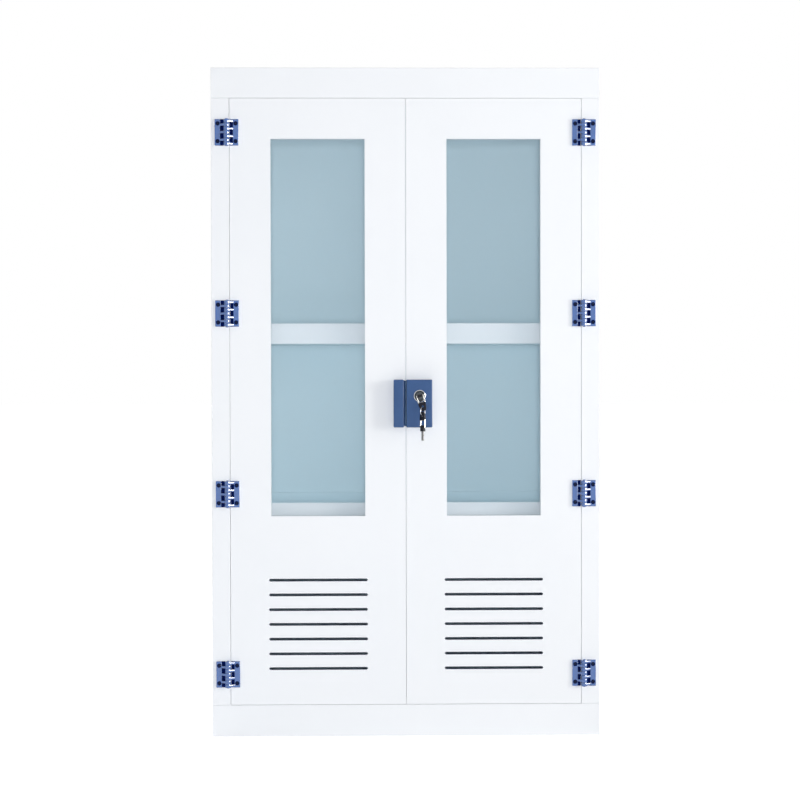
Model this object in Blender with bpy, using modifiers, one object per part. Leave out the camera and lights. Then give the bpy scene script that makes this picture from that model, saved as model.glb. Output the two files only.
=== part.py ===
"""Reagent cabinet: a welded polypropylene cupboard with two glazed, louvred doors.

Metres, +Z up, front towards -Y, +X to the right of someone facing the doors.
The origin is on the floor, under the middle of the overall box.
"""

from math import cos, pi, radians, sin

import bmesh
import bpy
from mathutils import Matrix, Vector

# Overall size of the carcass
WIDTH = 0.900
DEPTH = 0.450
HEIGHT = 1.550
SHEET = 0.008  # polypropylene sheet of the carcass and the door skins
SEAM = 0.0003  # clearance between neighbouring pieces
OVERRUN = 0.006  # how far a cutter runs past what it cuts
SHEET_ROUND = 0.0008  # scraped edge of a cut board

# Front frame, which the doors are inset in
HEADER_HEIGHT = 0.070
PLINTH_HEIGHT = 0.073
STILE_WIDTH = 0.042
DOOR_GAP = 0.0008  # the doors fit closely round all their edges
STOP_THICKNESS = 0.012
STOP_LAP = 0.012  # how far a stop reaches behind the door

# Doors
BACKING = 0.012  # inner frame that stiffens the door skin
BACKING_SETBACK = 0.0012  # inner frame's edges inside the skin's, clear of the other door
WINDOW_WIDTH = 0.218
WINDOW_SILL = 0.4382  # from the door's lower edge to the window
WINDOW_HEAD = 0.0932  # from the window to the door's upper edge
PANE_THICKNESS = 0.005
PANE_LAP = 0.012  # how far the pane runs behind the skin on each side
SLOT_COUNT = 7
SLOT_LENGTH = 0.228
SLOT_HEIGHT = 0.0052
SLOT_PITCH = 0.0343
LOWEST_SLOT = 0.0839  # from the door's lower edge to the middle of the slot
VENT_MARGIN = 0.012  # inner frame opening around the slots

# Hinges, moulded in two leaves on a pin
HINGE_COUNT = 4
UPPER_HINGE_END = 0.0789  # from the door's upper edge to a hinge's middle
LOWER_HINGE_END = 0.0715  # from the door's lower edge to a hinge's middle
HINGE_HEIGHT = 0.061
HINGE_REACH = 0.0275  # from the pin to a leaf's outer edge
HINGE_OFFSET = 0.0055  # pin's distance outside the stile's inner edge
LEAF_THICKNESS = 0.005
KNUCKLE_COUNT = 7
KNUCKLE_RADIUS = 0.007
KNUCKLE_LIFT = 0.0005  # knuckle's clearance over the faces it turns on
PIN_RADIUS = 0.0025
PIN_HEAD_RADIUS = 0.0037
PIN_HEAD_HEIGHT = 0.0016
POCKET_REACH = 0.0145  # from the pin to the thick part of a leaf
POCKET_FLOOR = 0.0016
RIB_HEIGHT = 0.005
SCREW_RADIUS = 0.0022
SCREW_HEAD_RADIUS = 0.0048
SCREW_INSET = 0.0068  # from a leaf's outer edge
SCREW_END = 0.0100  # from a leaf's upper or lower end

# Lock case on the right door, keeper on the left door
CASE_DEPTH = 0.035
CASE_HEIGHT = 0.110
CASE_MIDDLE = 0.7734  # height above the floor
CASE_RIGHT = 0.060  # from the middle of the cabinet
CASE_WALL = 0.004
CASE_ROUND = 0.002
KEEPER_LEFT = 0.029
KEEPER_SETBACK = 0.0052  # from the left door's free edge to the keeper's wall
FOOT_THICKNESS = 0.002  # foot that runs from that wall to the door's edge
CYLINDER_RIGHT = 0.031  # cylinder's axis from the middle of the cabinet
CYLINDER_RISE = 0.0176  # above the middle of the case

# Cylinder, plug and cam
FLANGE_RADIUS = 0.014
FLANGE_THICKNESS = 0.003
FLANGE_ROUND = 0.0012
BARREL_RADIUS = 0.0112
BARREL_LENGTH = 0.020
PLUG_RADIUS = 0.008
SPIGOT = 0.007
CAM_THICKNESS = 0.003
CAM_WIDTH = 0.012
CAM_REACH = 0.050
CAM_CLEARANCE = 0.0015  # round the cam's path through the walls
KEEPER_SLOT_RISE = 0.008

# Folding key and its spare
KEY_TILT = radians(15)
BLADE_LENGTH = 0.021
BLADE_WIDTH = 0.007
BLADE_THICKNESS = 0.002
HUB_WIDTH = 0.0120
HUB_THICKNESS = 0.006
HUB_LENGTH = 0.014
HUB_ROUND = 0.001
RIVET_FROM_END = 0.004
RIVET_RADIUS = 0.0009
LEG_THICKNESS = 0.0024
LEG_LENGTH = 0.0146  # from the rivet to the grip
LEG_END = 0.0026  # leg's length past the rivet
BOW_THICKNESS = 0.004
BOW_ROUND = 0.0007
GRIP_WIDTH = 0.018
GRIP_HEIGHT = 0.021
EYE_RADIUS = 0.0036
RING_RADIUS = 0.010
WIRE_RADIUS = 0.001
RING_DROP = 0.0010  # wire's middle below the eye's middle
RING_TURN = radians(35)
SPARE_TURN = radians(50)

# Lift-out trays and the angles they rest on
TRAY_SHEET = 0.006
TRAY_LIP = 0.048
TRAY_FRONT = 0.046  # from the carcass front to the tray
TRAY_CLEARANCE = 0.003
UPPER_TRAY_TOP = 0.960
LOWER_TRAY_TOP = 0.540
BEARER_LEG = 0.025
BEARER_THICKNESS = 0.005

# Facets of round shapes
KNUCKLE_SIDES = 12
BORE_SIDES = 8
CYLINDER_SIDES = 24
RING_SIDES = 24
WIRE_SIDES = 6
SLOT_END_STEPS = 3
ROUND_STEPS = 2  # rounded edges of the mouldings
WELD_DISTANCE = 0.00001

# Shares of the sizes that they follow
GRIP_FOOT_SHARE = 0.78  # grip's width at its free end
GRIP_CORNER_SHARE = 0.20
RIB_TOP_SHARES = (0.6, -0.8)  # where a rib meets its knuckle, on the unit circle
RIB_FOOT_SHARE = 0.5

# Places worked out from the sizes above
RIVET_OUT = SEAM + CASE_DEPTH + SEAM + FLANGE_THICKNESS + SEAM + HUB_LENGTH - RIVET_FROM_END
REACH = RIVET_OUT + RING_RADIUS * cos(RING_TURN) + WIRE_RADIUS
FRONT = (REACH - DEPTH) / 2
BACK = FRONT + DEPTH
SIDE = WIDTH / 2
INNER_SIDE = SIDE - SHEET
STILE_EDGE = SIDE - STILE_WIDTH
DOOR_OUTER = STILE_EDGE - DOOR_GAP
DOOR_INNER = DOOR_GAP / 2
DOOR_LOW = PLINTH_HEIGHT + DOOR_GAP
DOOR_HIGH = HEIGHT - HEADER_HEIGHT - DOOR_GAP
DOOR_THICKNESS = SHEET + SEAM + BACKING
DOOR_BACK = FRONT + DOOR_THICKNESS
STOP_FRONT = DOOR_BACK + SEAM
STOP_BACK = STOP_FRONT + STOP_THICKNESS
HINGE_X = STILE_EDGE + HINGE_OFFSET
HINGE_LIFT = KNUCKLE_RADIUS + KNUCKLE_LIFT
HINGE_Y = FRONT - HINGE_LIFT
CASE_BACK = FRONT - SEAM
CASE_FRONT = CASE_BACK - CASE_DEPTH
CASE_LOW = CASE_MIDDLE - CASE_HEIGHT / 2
CASE_HIGH = CASE_MIDDLE + CASE_HEIGHT / 2
CYLINDER_Z = CASE_MIDDLE + CYLINDER_RISE
FLANGE_FRONT = CASE_FRONT - SEAM - FLANGE_THICKNESS
CAM_FRONT = CASE_FRONT + BARREL_LENGTH + 2 * SEAM
RIVET_Y = FRONT - RIVET_OUT

parts = None
cutters = None


def clear_scene():
    for obj in list(bpy.data.objects):
        bpy.data.objects.remove(obj, do_unlink=True)


def new_collection(name):
    collection = bpy.data.collections.new(name)
    bpy.context.scene.collection.children.link(collection)
    return collection


def new_material(name, colour, roughness, metallic=0.0, alpha=1.0):
    material = bpy.data.materials.new(name)
    material.use_nodes = True
    shader = material.node_tree.nodes["Principled BSDF"]
    shader.inputs["Base Color"].default_value = (*colour, 1.0)
    shader.inputs["Roughness"].default_value = roughness
    shader.inputs["Metallic"].default_value = metallic
    shader.inputs["Alpha"].default_value = alpha
    return material


def add_piece(name, mesh, place, finish, collection=None):
    """A named object from a mesh, standing where the matrix says."""
    obj = bpy.data.objects.new(name, mesh)
    (collection or parts).objects.link(obj)
    obj.matrix_world = place
    if finish:
        obj.data.materials.append(new_material(name, *finish))
    bpy.context.view_layer.update()
    return obj


def hide_as_cutter(obj):
    obj.hide_render = True
    obj.display_type = "WIRE"
    return obj


def block(name, low, high, finish, collection=None):
    """A box between two opposite corners."""
    low = Vector(low)
    high = Vector(high)
    mesh = bpy.data.meshes.new(name)
    shape = bmesh.new()
    bmesh.ops.create_cube(shape, size=1.0)
    bmesh.ops.scale(shape, vec=high - low, verts=shape.verts)
    shape.to_mesh(mesh)
    shape.free()
    return add_piece(name, mesh, Matrix.Translation((low + high) / 2), finish, collection)


def cone(name, foot_radius, top_radius, length, sides, place, finish, collection=None):
    """A cylinder or cone about the local Z axis, its middle at the place's origin."""
    mesh = bpy.data.meshes.new(name)
    shape = bmesh.new()
    bmesh.ops.create_cone(
        shape,
        cap_ends=True,
        segments=sides,
        radius1=foot_radius,
        radius2=top_radius,
        depth=length,
    )
    shape.to_mesh(mesh)
    shape.free()
    return add_piece(name, mesh, place, finish, collection)


def sheet(name, outlines, thickness, place, finish, collection=None):
    """A board cut to the first outline, with the others as holes, in the place's XY plane."""
    curve = bpy.data.curves.new(name, "CURVE")
    curve.dimensions = "2D"
    curve.fill_mode = "BOTH"
    curve.extrude = thickness / 2
    for outline in outlines:
        spline = curve.splines.new("POLY")
        spline.points.add(len(outline) - 1)
        for point, (x, y) in zip(spline.points, outline):
            point.co = (x, y, 0.0, 1.0)
        spline.use_cyclic_u = True
    drawn = bpy.data.objects.new(name, curve)
    parts.objects.link(drawn)
    bpy.context.view_layer.update()
    mesh = solid_mesh(drawn)
    bpy.data.objects.remove(drawn)
    mesh.name = name
    return add_piece(name, mesh, place, finish, collection)


def solid_mesh(obj):
    """The object's evaluated mesh, with loose caps welded on."""
    graph = bpy.context.evaluated_depsgraph_get()
    mesh = bpy.data.meshes.new_from_object(obj.evaluated_get(graph))
    shape = bmesh.new()
    shape.from_mesh(mesh)
    bmesh.ops.remove_doubles(shape, verts=shape.verts, dist=WELD_DISTANCE)
    shape.to_mesh(mesh)
    shape.free()
    mesh.materials.clear()
    return mesh


def turned(name, profile, sides, place, finish):
    """A profile of (radius, height) points turned about the local Z axis.

    A profile that starts on the axis ends there too; any other is closed into a ring.
    """
    mesh = bpy.data.meshes.new(name)
    shape = bmesh.new()
    line = [shape.verts.new((radius, 0.0, height)) for radius, height in profile]
    onward = line[1:] + line[:1] if profile[0][0] > 0 else line[1:]
    for first, second in zip(line, onward):
        shape.edges.new((first, second))
    shape.to_mesh(mesh)
    shape.free()
    obj = add_piece(name, mesh, place, finish)
    screw = obj.modifiers.new("Turn", "SCREW")
    screw.steps = sides
    screw.render_steps = sides
    screw.use_merge_vertices = True
    screw.merge_threshold = WELD_DISTANCE
    return obj


def combine(obj, other, operation):
    boolean = obj.modifiers.new(other.name, "BOOLEAN")
    boolean.operation = operation
    boolean.object = other
    boolean.solver = "EXACT"
    hide_as_cutter(other)
    return obj


def cut(obj, *tools):
    for tool in tools:
        combine(obj, tool, "DIFFERENCE")
    return obj


def join(obj, *others):
    for other in others:
        combine(obj, other, "UNION")
    return obj


def round_edges(obj, width, steps=1):
    bevel = obj.modifiers.new("Rounded edges", "BEVEL")
    bevel.width = width
    bevel.segments = steps
    bevel.limit_method = "ANGLE"
    bevel.angle_limit = radians(50)
    return obj


def settle(obj):
    """Applies the object's modifiers, so that copies can share its finished mesh."""
    mesh = solid_mesh(obj)
    helpers = [modifier.object for modifier in obj.modifiers if modifier.type == "BOOLEAN"]
    obj.modifiers.clear()
    obj.data = mesh
    for helper in helpers:
        bpy.data.objects.remove(helper)
    return obj


def shade_round(obj):
    obj.data.shade_smooth()
    obj.data.set_sharp_from_angle(angle=radians(40))
    return obj


def pivot(name, place, carrier=None):
    """An empty on a joint's axis, which the moving pieces hang from."""
    empty = bpy.data.objects.new(name, None)
    empty.empty_display_size = SHEET
    parts.objects.link(empty)
    empty.location = place
    bpy.context.view_layer.update()
    if carrier:
        hang(carrier, empty)
    return empty


def hang(carrier, *pieces):
    for piece in pieces:
        piece.parent = carrier
        piece.matrix_parent_inverse = carrier.matrix_world.inverted()
    bpy.context.view_layer.update()


def rectangle(left, low, right, high):
    return [(left, low), (right, low), (right, high), (left, high)]


def arc(middle, radius, start, end, steps):
    """Points round part of a circle, both ends included."""
    angles = [start + (end - start) * step / steps for step in range(steps + 1)]
    return [(middle[0] + radius * cos(a), middle[1] + radius * sin(a)) for a in angles]


def slot_outline(middle_x, middle_y, length, height):
    radius = height / 2
    reach = length / 2 - radius
    right = arc((middle_x + reach, middle_y), radius, -pi / 2, pi / 2, SLOT_END_STEPS)
    left = arc((middle_x - reach, middle_y), radius, pi / 2, 3 * pi / 2, SLOT_END_STEPS)
    return right + left


def facing(x, y, z):
    """A place whose local X is +X, local Y is up and local Z faces the viewer."""
    return Matrix.Translation((x, y, z)) @ Matrix.Rotation(pi / 2, 4, "X")


# Finishes: colour, roughness, metallic
WHITE_SHEET = ((0.88, 0.90, 0.92), 0.45)
BLUE_MOULDING = ((0.10, 0.18, 0.42), 0.40)
CLEAR_SHEET = ((0.42, 0.52, 0.60), 0.08, 0.0, 0.45)
STEEL_WIRE = ((0.62, 0.63, 0.65), 0.25, 1.0)
CHROME = ((0.75, 0.76, 0.78), 0.10, 1.0)
BLACK_MOULDING = ((0.012, 0.013, 0.016), 0.40)


def make_carcass():
    """Welded boards: two sides, back, top and floor behind a header, stiles and plinth."""
    board_front = FRONT + SHEET + SEAM
    back_front = BACK - SHEET
    fit_side = INNER_SIDE - SEAM
    boards = [
        block("side_panel_left", (-SIDE, board_front, 0), (-INNER_SIDE, BACK, HEIGHT), WHITE_SHEET),
        block("side_panel_right", (INNER_SIDE, board_front, 0), (SIDE, BACK, HEIGHT), WHITE_SHEET),
        block("back_panel", (-fit_side, back_front, 0), (fit_side, BACK, HEIGHT), WHITE_SHEET),
        block(
            "top_panel",
            (-fit_side, board_front, HEIGHT - SHEET),
            (fit_side, back_front - SEAM, HEIGHT),
            WHITE_SHEET,
        ),
        block(
            "floor_panel",
            (-fit_side, board_front, PLINTH_HEIGHT - SHEET),
            (fit_side, back_front - SEAM, PLINTH_HEIGHT),
            WHITE_SHEET,
        ),
        block(
            "header",
            (-SIDE, FRONT, HEIGHT - HEADER_HEIGHT),
            (SIDE, FRONT + SHEET, HEIGHT),
            WHITE_SHEET,
        ),
        block("plinth", (-SIDE, FRONT, 0), (SIDE, FRONT + SHEET, PLINTH_HEIGHT), WHITE_SHEET),
    ]
    stile_low = PLINTH_HEIGHT + SEAM
    stile_high = HEIGHT - HEADER_HEIGHT - SEAM
    for side, name in ((-1, "stile_left"), (1, "stile_right")):
        edges = sorted((side * STILE_EDGE, side * SIDE))
        boards.append(
            block(
                name,
                (edges[0], FRONT, stile_low),
                (edges[1], FRONT + SHEET, stile_high),
                WHITE_SHEET,
            )
        )
    for board in boards:
        round_edges(board, SHEET_ROUND)


def make_door_stops():
    """Posts behind the stiles, a rail behind the header and a sill, which the doors close on."""
    post_low = PLINTH_HEIGHT + SEAM
    post_high = HEIGHT - SHEET - SEAM
    web = STILE_EDGE + STOP_THICKNESS
    lap = STILE_EDGE - DOOR_GAP - STOP_LAP
    outer = INNER_SIDE - SEAM
    web_front = FRONT + SHEET + SEAM
    for side, name in ((-1, "door_post_left"), (1, "door_post_right")):
        outline = [
            (side * STILE_EDGE, web_front),
            (side * web, web_front),
            (side * web, STOP_FRONT),
            (side * outer, STOP_FRONT),
            (side * outer, STOP_BACK),
            (side * lap, STOP_BACK),
            (side * lap, STOP_FRONT),
            (side * STILE_EDGE, STOP_FRONT),
        ]
        place = Matrix.Translation((0, 0, (post_low + post_high) / 2))
        sheet(name, [outline], post_high - post_low, place, WHITE_SHEET)

    rail_half = lap - SEAM
    header_low = HEIGHT - HEADER_HEIGHT
    outline = [
        (web_front, header_low),
        (web_front, header_low + STOP_THICKNESS),
        (STOP_FRONT, header_low + STOP_THICKNESS),
        (STOP_FRONT, post_high),
        (STOP_BACK, post_high),
        (STOP_BACK, header_low - DOOR_GAP - STOP_LAP),
        (STOP_FRONT, header_low - DOOR_GAP - STOP_LAP),
        (STOP_FRONT, header_low),
    ]
    # local X runs back, local Y runs up and local Z runs along the rail
    along = Matrix(((0, 0, 1, 0), (1, 0, 0, 0), (0, 1, 0, 0), (0, 0, 0, 1)))
    sheet("door_stop_top", [outline], 2 * rail_half, along, WHITE_SHEET)

    sill_low = PLINTH_HEIGHT + SEAM
    sill = block(
        "door_sill",
        (-rail_half, STOP_FRONT, sill_low),
        (rail_half, STOP_BACK, DOOR_LOW + STOP_LAP),
        WHITE_SHEET,
    )
    round_edges(sill, SHEET_ROUND)


def make_trays():
    """Two open trays that lift off the angle strips welded to the side panels."""
    tray_side = INNER_SIDE - TRAY_CLEARANCE
    tray_front = FRONT + TRAY_FRONT
    tray_back = BACK - SHEET - TRAY_CLEARANCE
    for level, top in (("upper", UPPER_TRAY_TOP), ("lower", LOWER_TRAY_TOP)):
        low = top - TRAY_LIP
        tray = block(
            "tray_" + level,
            (-tray_side, tray_front, low),
            (tray_side, tray_back, top),
            WHITE_SHEET,
        )
        shape = bmesh.new()
        shape.from_mesh(tray.data)
        lid = [face for face in shape.faces if face.normal.z > face.normal.length / 2]
        bmesh.ops.delete(shape, geom=lid, context="FACES_ONLY")
        shape.to_mesh(tray.data)
        shape.free()
        shell = tray.modifiers.new("Sheet", "SOLIDIFY")
        shell.thickness = TRAY_SHEET
        shell.offset = -1.0
        shell.use_even_offset = True
        round_edges(tray, SHEET_ROUND)
        hang(pivot("tray_%s_lift" % level, (0, (tray_front + tray_back) / 2, low)), tray)

        seat = low - SEAM
        wall = INNER_SIDE - SEAM
        for side, hand in ((-1, "left"), (1, "right")):
            outline = [
                (side * wall, seat),
                (side * (wall - BEARER_LEG), seat),
                (side * (wall - BEARER_LEG), seat - BEARER_THICKNESS),
                (side * (wall - BEARER_THICKNESS), seat - BEARER_THICKNESS),
                (side * (wall - BEARER_THICKNESS), seat - BEARER_LEG),
                (side * wall, seat - BEARER_LEG),
            ]
            place = facing(0, (tray_front + tray_back) / 2, 0)
            name = "bearer_%s_%s" % (level, hand)
            sheet(name, [outline], tray_back - tray_front, place, WHITE_SHEET)


def door_span(side):
    """Left and right edges of the door on that side."""
    return sorted((side * DOOR_INNER, side * DOOR_OUTER))


def make_door(side, hand):
    """Skin with window and louvre slots, inner frame behind it and the pane held between."""
    left, right = door_span(side)
    middle = (left + right) / 2
    window_low = DOOR_LOW + WINDOW_SILL
    window_high = DOOR_HIGH - WINDOW_HEAD
    half = WINDOW_WIDTH / 2
    window = rectangle(middle - half, window_low, middle + half, window_high)
    slots = [
        slot_outline(middle, DOOR_LOW + LOWEST_SLOT + row * SLOT_PITCH, SLOT_LENGTH, SLOT_HEIGHT)
        for row in range(SLOT_COUNT)
    ]
    board = rectangle(left, DOOR_LOW, right, DOOR_HIGH)
    skin_place = facing(0, FRONT + SHEET / 2, 0)
    skin = sheet("door_skin_" + hand, [board, window] + slots, SHEET, skin_place, WHITE_SHEET)

    vent_half = SLOT_LENGTH / 2 + VENT_MARGIN
    vent_low = DOOR_LOW + LOWEST_SLOT - SLOT_HEIGHT / 2 - VENT_MARGIN
    vent_high = vent_low + (SLOT_COUNT - 1) * SLOT_PITCH + SLOT_HEIGHT + 2 * VENT_MARGIN
    vent = rectangle(middle - vent_half, vent_low, middle + vent_half, vent_high)
    frame_front = FRONT + SHEET + SEAM
    frame_place = facing(0, frame_front + BACKING / 2, 0)
    backing = rectangle(
        left + BACKING_SETBACK,
        DOOR_LOW + BACKING_SETBACK,
        right - BACKING_SETBACK,
        DOOR_HIGH - BACKING_SETBACK,
    )
    frame = sheet("door_frame_" + hand, [backing, window, vent], BACKING, frame_place, WHITE_SHEET)
    pane_half = half + PANE_LAP
    rebate = block(
        "rebate_cutter_" + hand,
        (middle - pane_half, frame_front - OVERRUN, window_low - PANE_LAP),
        (middle + pane_half, frame_front + PANE_THICKNESS + SEAM, window_high + PANE_LAP),
        None,
        cutters,
    )
    cut(frame, rebate)

    pane = block(
        "window_pane_" + hand,
        (middle - pane_half + SEAM, frame_front, window_low - PANE_LAP + SEAM),
        (middle + pane_half - SEAM, frame_front + PANE_THICKNESS, window_high + PANE_LAP - SEAM),
        CLEAR_SHEET,
    )
    axis = pivot("door_%s_axis" % hand, (side * HINGE_X, HINGE_Y, DOOR_LOW))
    hang(axis, skin, frame, pane, rebate)
    return axis


def make_leaf(name, side, knuckles):
    """One hinge leaf, its pin on the local Z axis and the board's face at +Y."""
    face = HINGE_LIFT - SEAM
    top = HINGE_LIFT - LEAF_THICKNESS
    half = HINGE_HEIGHT / 2
    pitch = HINGE_HEIGHT / KNUCKLE_COUNT
    outer = sorted((side * POCKET_REACH, side * HINGE_REACH))
    leaf = block(name, (outer[0], top, -half), (outer[1], face, half), None)
    leaf = settle(round_edges(leaf, SHEET_ROUND))
    leaf.location = (0, 0, 0)
    leaf.data.transform(Matrix.Translation(((outer[0] + outer[1]) / 2, (top + face) / 2, 0)))

    floor_edge = KNUCKLE_RADIUS + KNUCKLE_LIFT
    floor = sorted((side * floor_edge, side * (POCKET_REACH + SHEET_ROUND)))
    shapes = [
        block(
            name + "_floor",
            (floor[0], HINGE_LIFT - POCKET_FLOOR, -half),
            (floor[1], face, half),
            None,
            cutters,
        )
    ]
    foot = side * (POCKET_REACH + 2 * SHEET_ROUND)
    rib = [
        (0.0, 0.0),
        (side * KNUCKLE_RADIUS * RIB_TOP_SHARES[0], KNUCKLE_RADIUS * RIB_TOP_SHARES[1]),
        (foot, top + SHEET_ROUND),
        (foot, face - SHEET_ROUND),
        (side * KNUCKLE_RADIUS * RIB_FOOT_SHARE, face),
    ]
    for knuckle in knuckles:
        height = half - pitch * knuckle + pitch / 2
        place = Matrix.Translation((0, 0, height))
        label = "%s_%d" % (name, knuckle)
        shapes.append(
            cone(
                label + "_barrel",
                KNUCKLE_RADIUS,
                KNUCKLE_RADIUS,
                pitch - SEAM,
                KNUCKLE_SIDES,
                place,
                None,
                cutters,
            )
        )
        shapes.append(sheet(label + "_rib", [rib], RIB_HEIGHT, place, None, cutters))

    bore_radius = (PIN_RADIUS + SEAM) / cos(pi / BORE_SIDES)
    bore = cone(
        name + "_bore",
        bore_radius,
        bore_radius,
        HINGE_HEIGHT + 2 * OVERRUN,
        BORE_SIDES,
        Matrix.Identity(4),
        None,
        cutters,
    )
    holes = [bore]
    for end in (-1, 1):
        x = side * (HINGE_REACH - SCREW_INSET)
        z = end * (half - SCREW_END)
        depth = SCREW_HEAD_RADIUS - SCREW_RADIUS
        holes.append(
            cone(
                "%s_screw_hole_%d" % (name, end),
                SCREW_RADIUS,
                SCREW_RADIUS,
                LEAF_THICKNESS + 2 * OVERRUN,
                BORE_SIDES,
                facing(x, (top + face) / 2, z),
                None,
                cutters,
            )
        )
        holes.append(
            cone(
                "%s_countersink_%d" % (name, end),
                SCREW_RADIUS,
                SCREW_HEAD_RADIUS + SEAM,
                depth + SEAM,
                BORE_SIDES,
                facing(x, top + (depth - SEAM) / 2, z),
                None,
                cutters,
            )
        )
    join(leaf, *shapes)
    cut(leaf, *holes)
    return shade_round(settle(leaf))


def make_hinges(left_door, right_door):
    """Four hinges a side. Each has a three-knuckle and a four-knuckle leaf on a headed pin."""
    even = range(2, KNUCKLE_COUNT + 1, 2)
    odd = range(1, KNUCKLE_COUNT + 1, 2)
    left_leaf = make_leaf("left_leaf", -1, even)
    right_leaf = make_leaf("right_leaf", 1, odd)
    low = DOOR_LOW + LOWER_HINGE_END
    high = DOOR_HIGH - UPPER_HINGE_END
    step = (high - low) / (HINGE_COUNT - 1)
    for side, hand, door in ((-1, "left", left_door), (1, "right", right_door)):
        frame_leaf, door_leaf = (left_leaf, right_leaf) if side < 0 else (right_leaf, left_leaf)
        for index in range(HINGE_COUNT):
            number = index + 1
            place = Matrix.Translation((side * HINGE_X, HINGE_Y, high - index * step))
            label = "%s_%d" % (hand, number)
            add_piece("frame_leaf_" + label, frame_leaf.data.copy(), place, BLUE_MOULDING)
            headed_pin("hinge_pin_" + label, place)
            moving = add_piece("door_leaf_" + label, door_leaf.data.copy(), place, BLUE_MOULDING)
            hang(door, moving)
    bpy.data.objects.remove(left_leaf)
    bpy.data.objects.remove(right_leaf)


def headed_pin(name, place):
    """A pin with a button head above the top knuckle and a riveted end below the last one."""
    half = HINGE_HEIGHT / 2
    head_low = half + SEAM / 2
    foot = -half - SEAM / 2
    profile = [
        (0.0, head_low + PIN_HEAD_HEIGHT),
        (PIN_RADIUS, head_low + PIN_HEAD_HEIGHT),
        (PIN_HEAD_RADIUS, head_low),
        (PIN_RADIUS, head_low),
        (PIN_RADIUS, foot),
        (PIN_HEAD_RADIUS, foot),
        (PIN_RADIUS, foot - PIN_HEAD_HEIGHT),
        (0.0, foot - PIN_HEAD_HEIGHT),
    ]
    return shade_round(turned(name, profile, BORE_SIDES, place, BLUE_MOULDING))


def cam_window(name, left, right, fall):
    """A cutter for the cam's way through a side wall."""
    return block(
        name,
        (left - OVERRUN, CAM_FRONT - CAM_CLEARANCE, CYLINDER_Z - fall),
        (right + OVERRUN, CAM_FRONT + CAM_THICKNESS + CAM_CLEARANCE, CYLINDER_Z + KEEPER_SLOT_RISE),
        None,
        cutters,
    )


def cam_fall(distance):
    """How far below the cylinder the swinging cam crosses a wall at that distance."""
    return (CAM_REACH**2 - distance**2) ** 0.5 + CAM_CLEARANCE


def lock_box(name, left, right):
    """A moulded box open towards the door."""
    box = block(name, (left, CASE_FRONT, CASE_LOW), (right, CASE_BACK, CASE_HIGH), BLUE_MOULDING)
    round_edges(box, CASE_ROUND, ROUND_STEPS)
    hollow = block(
        name + "_hollow",
        (left + CASE_WALL, CASE_FRONT + CASE_WALL, CASE_LOW + CASE_WALL),
        (right - CASE_WALL, CASE_BACK + OVERRUN, CASE_HIGH - CASE_WALL),
        None,
        cutters,
    )
    return cut(box, hollow)


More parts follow.
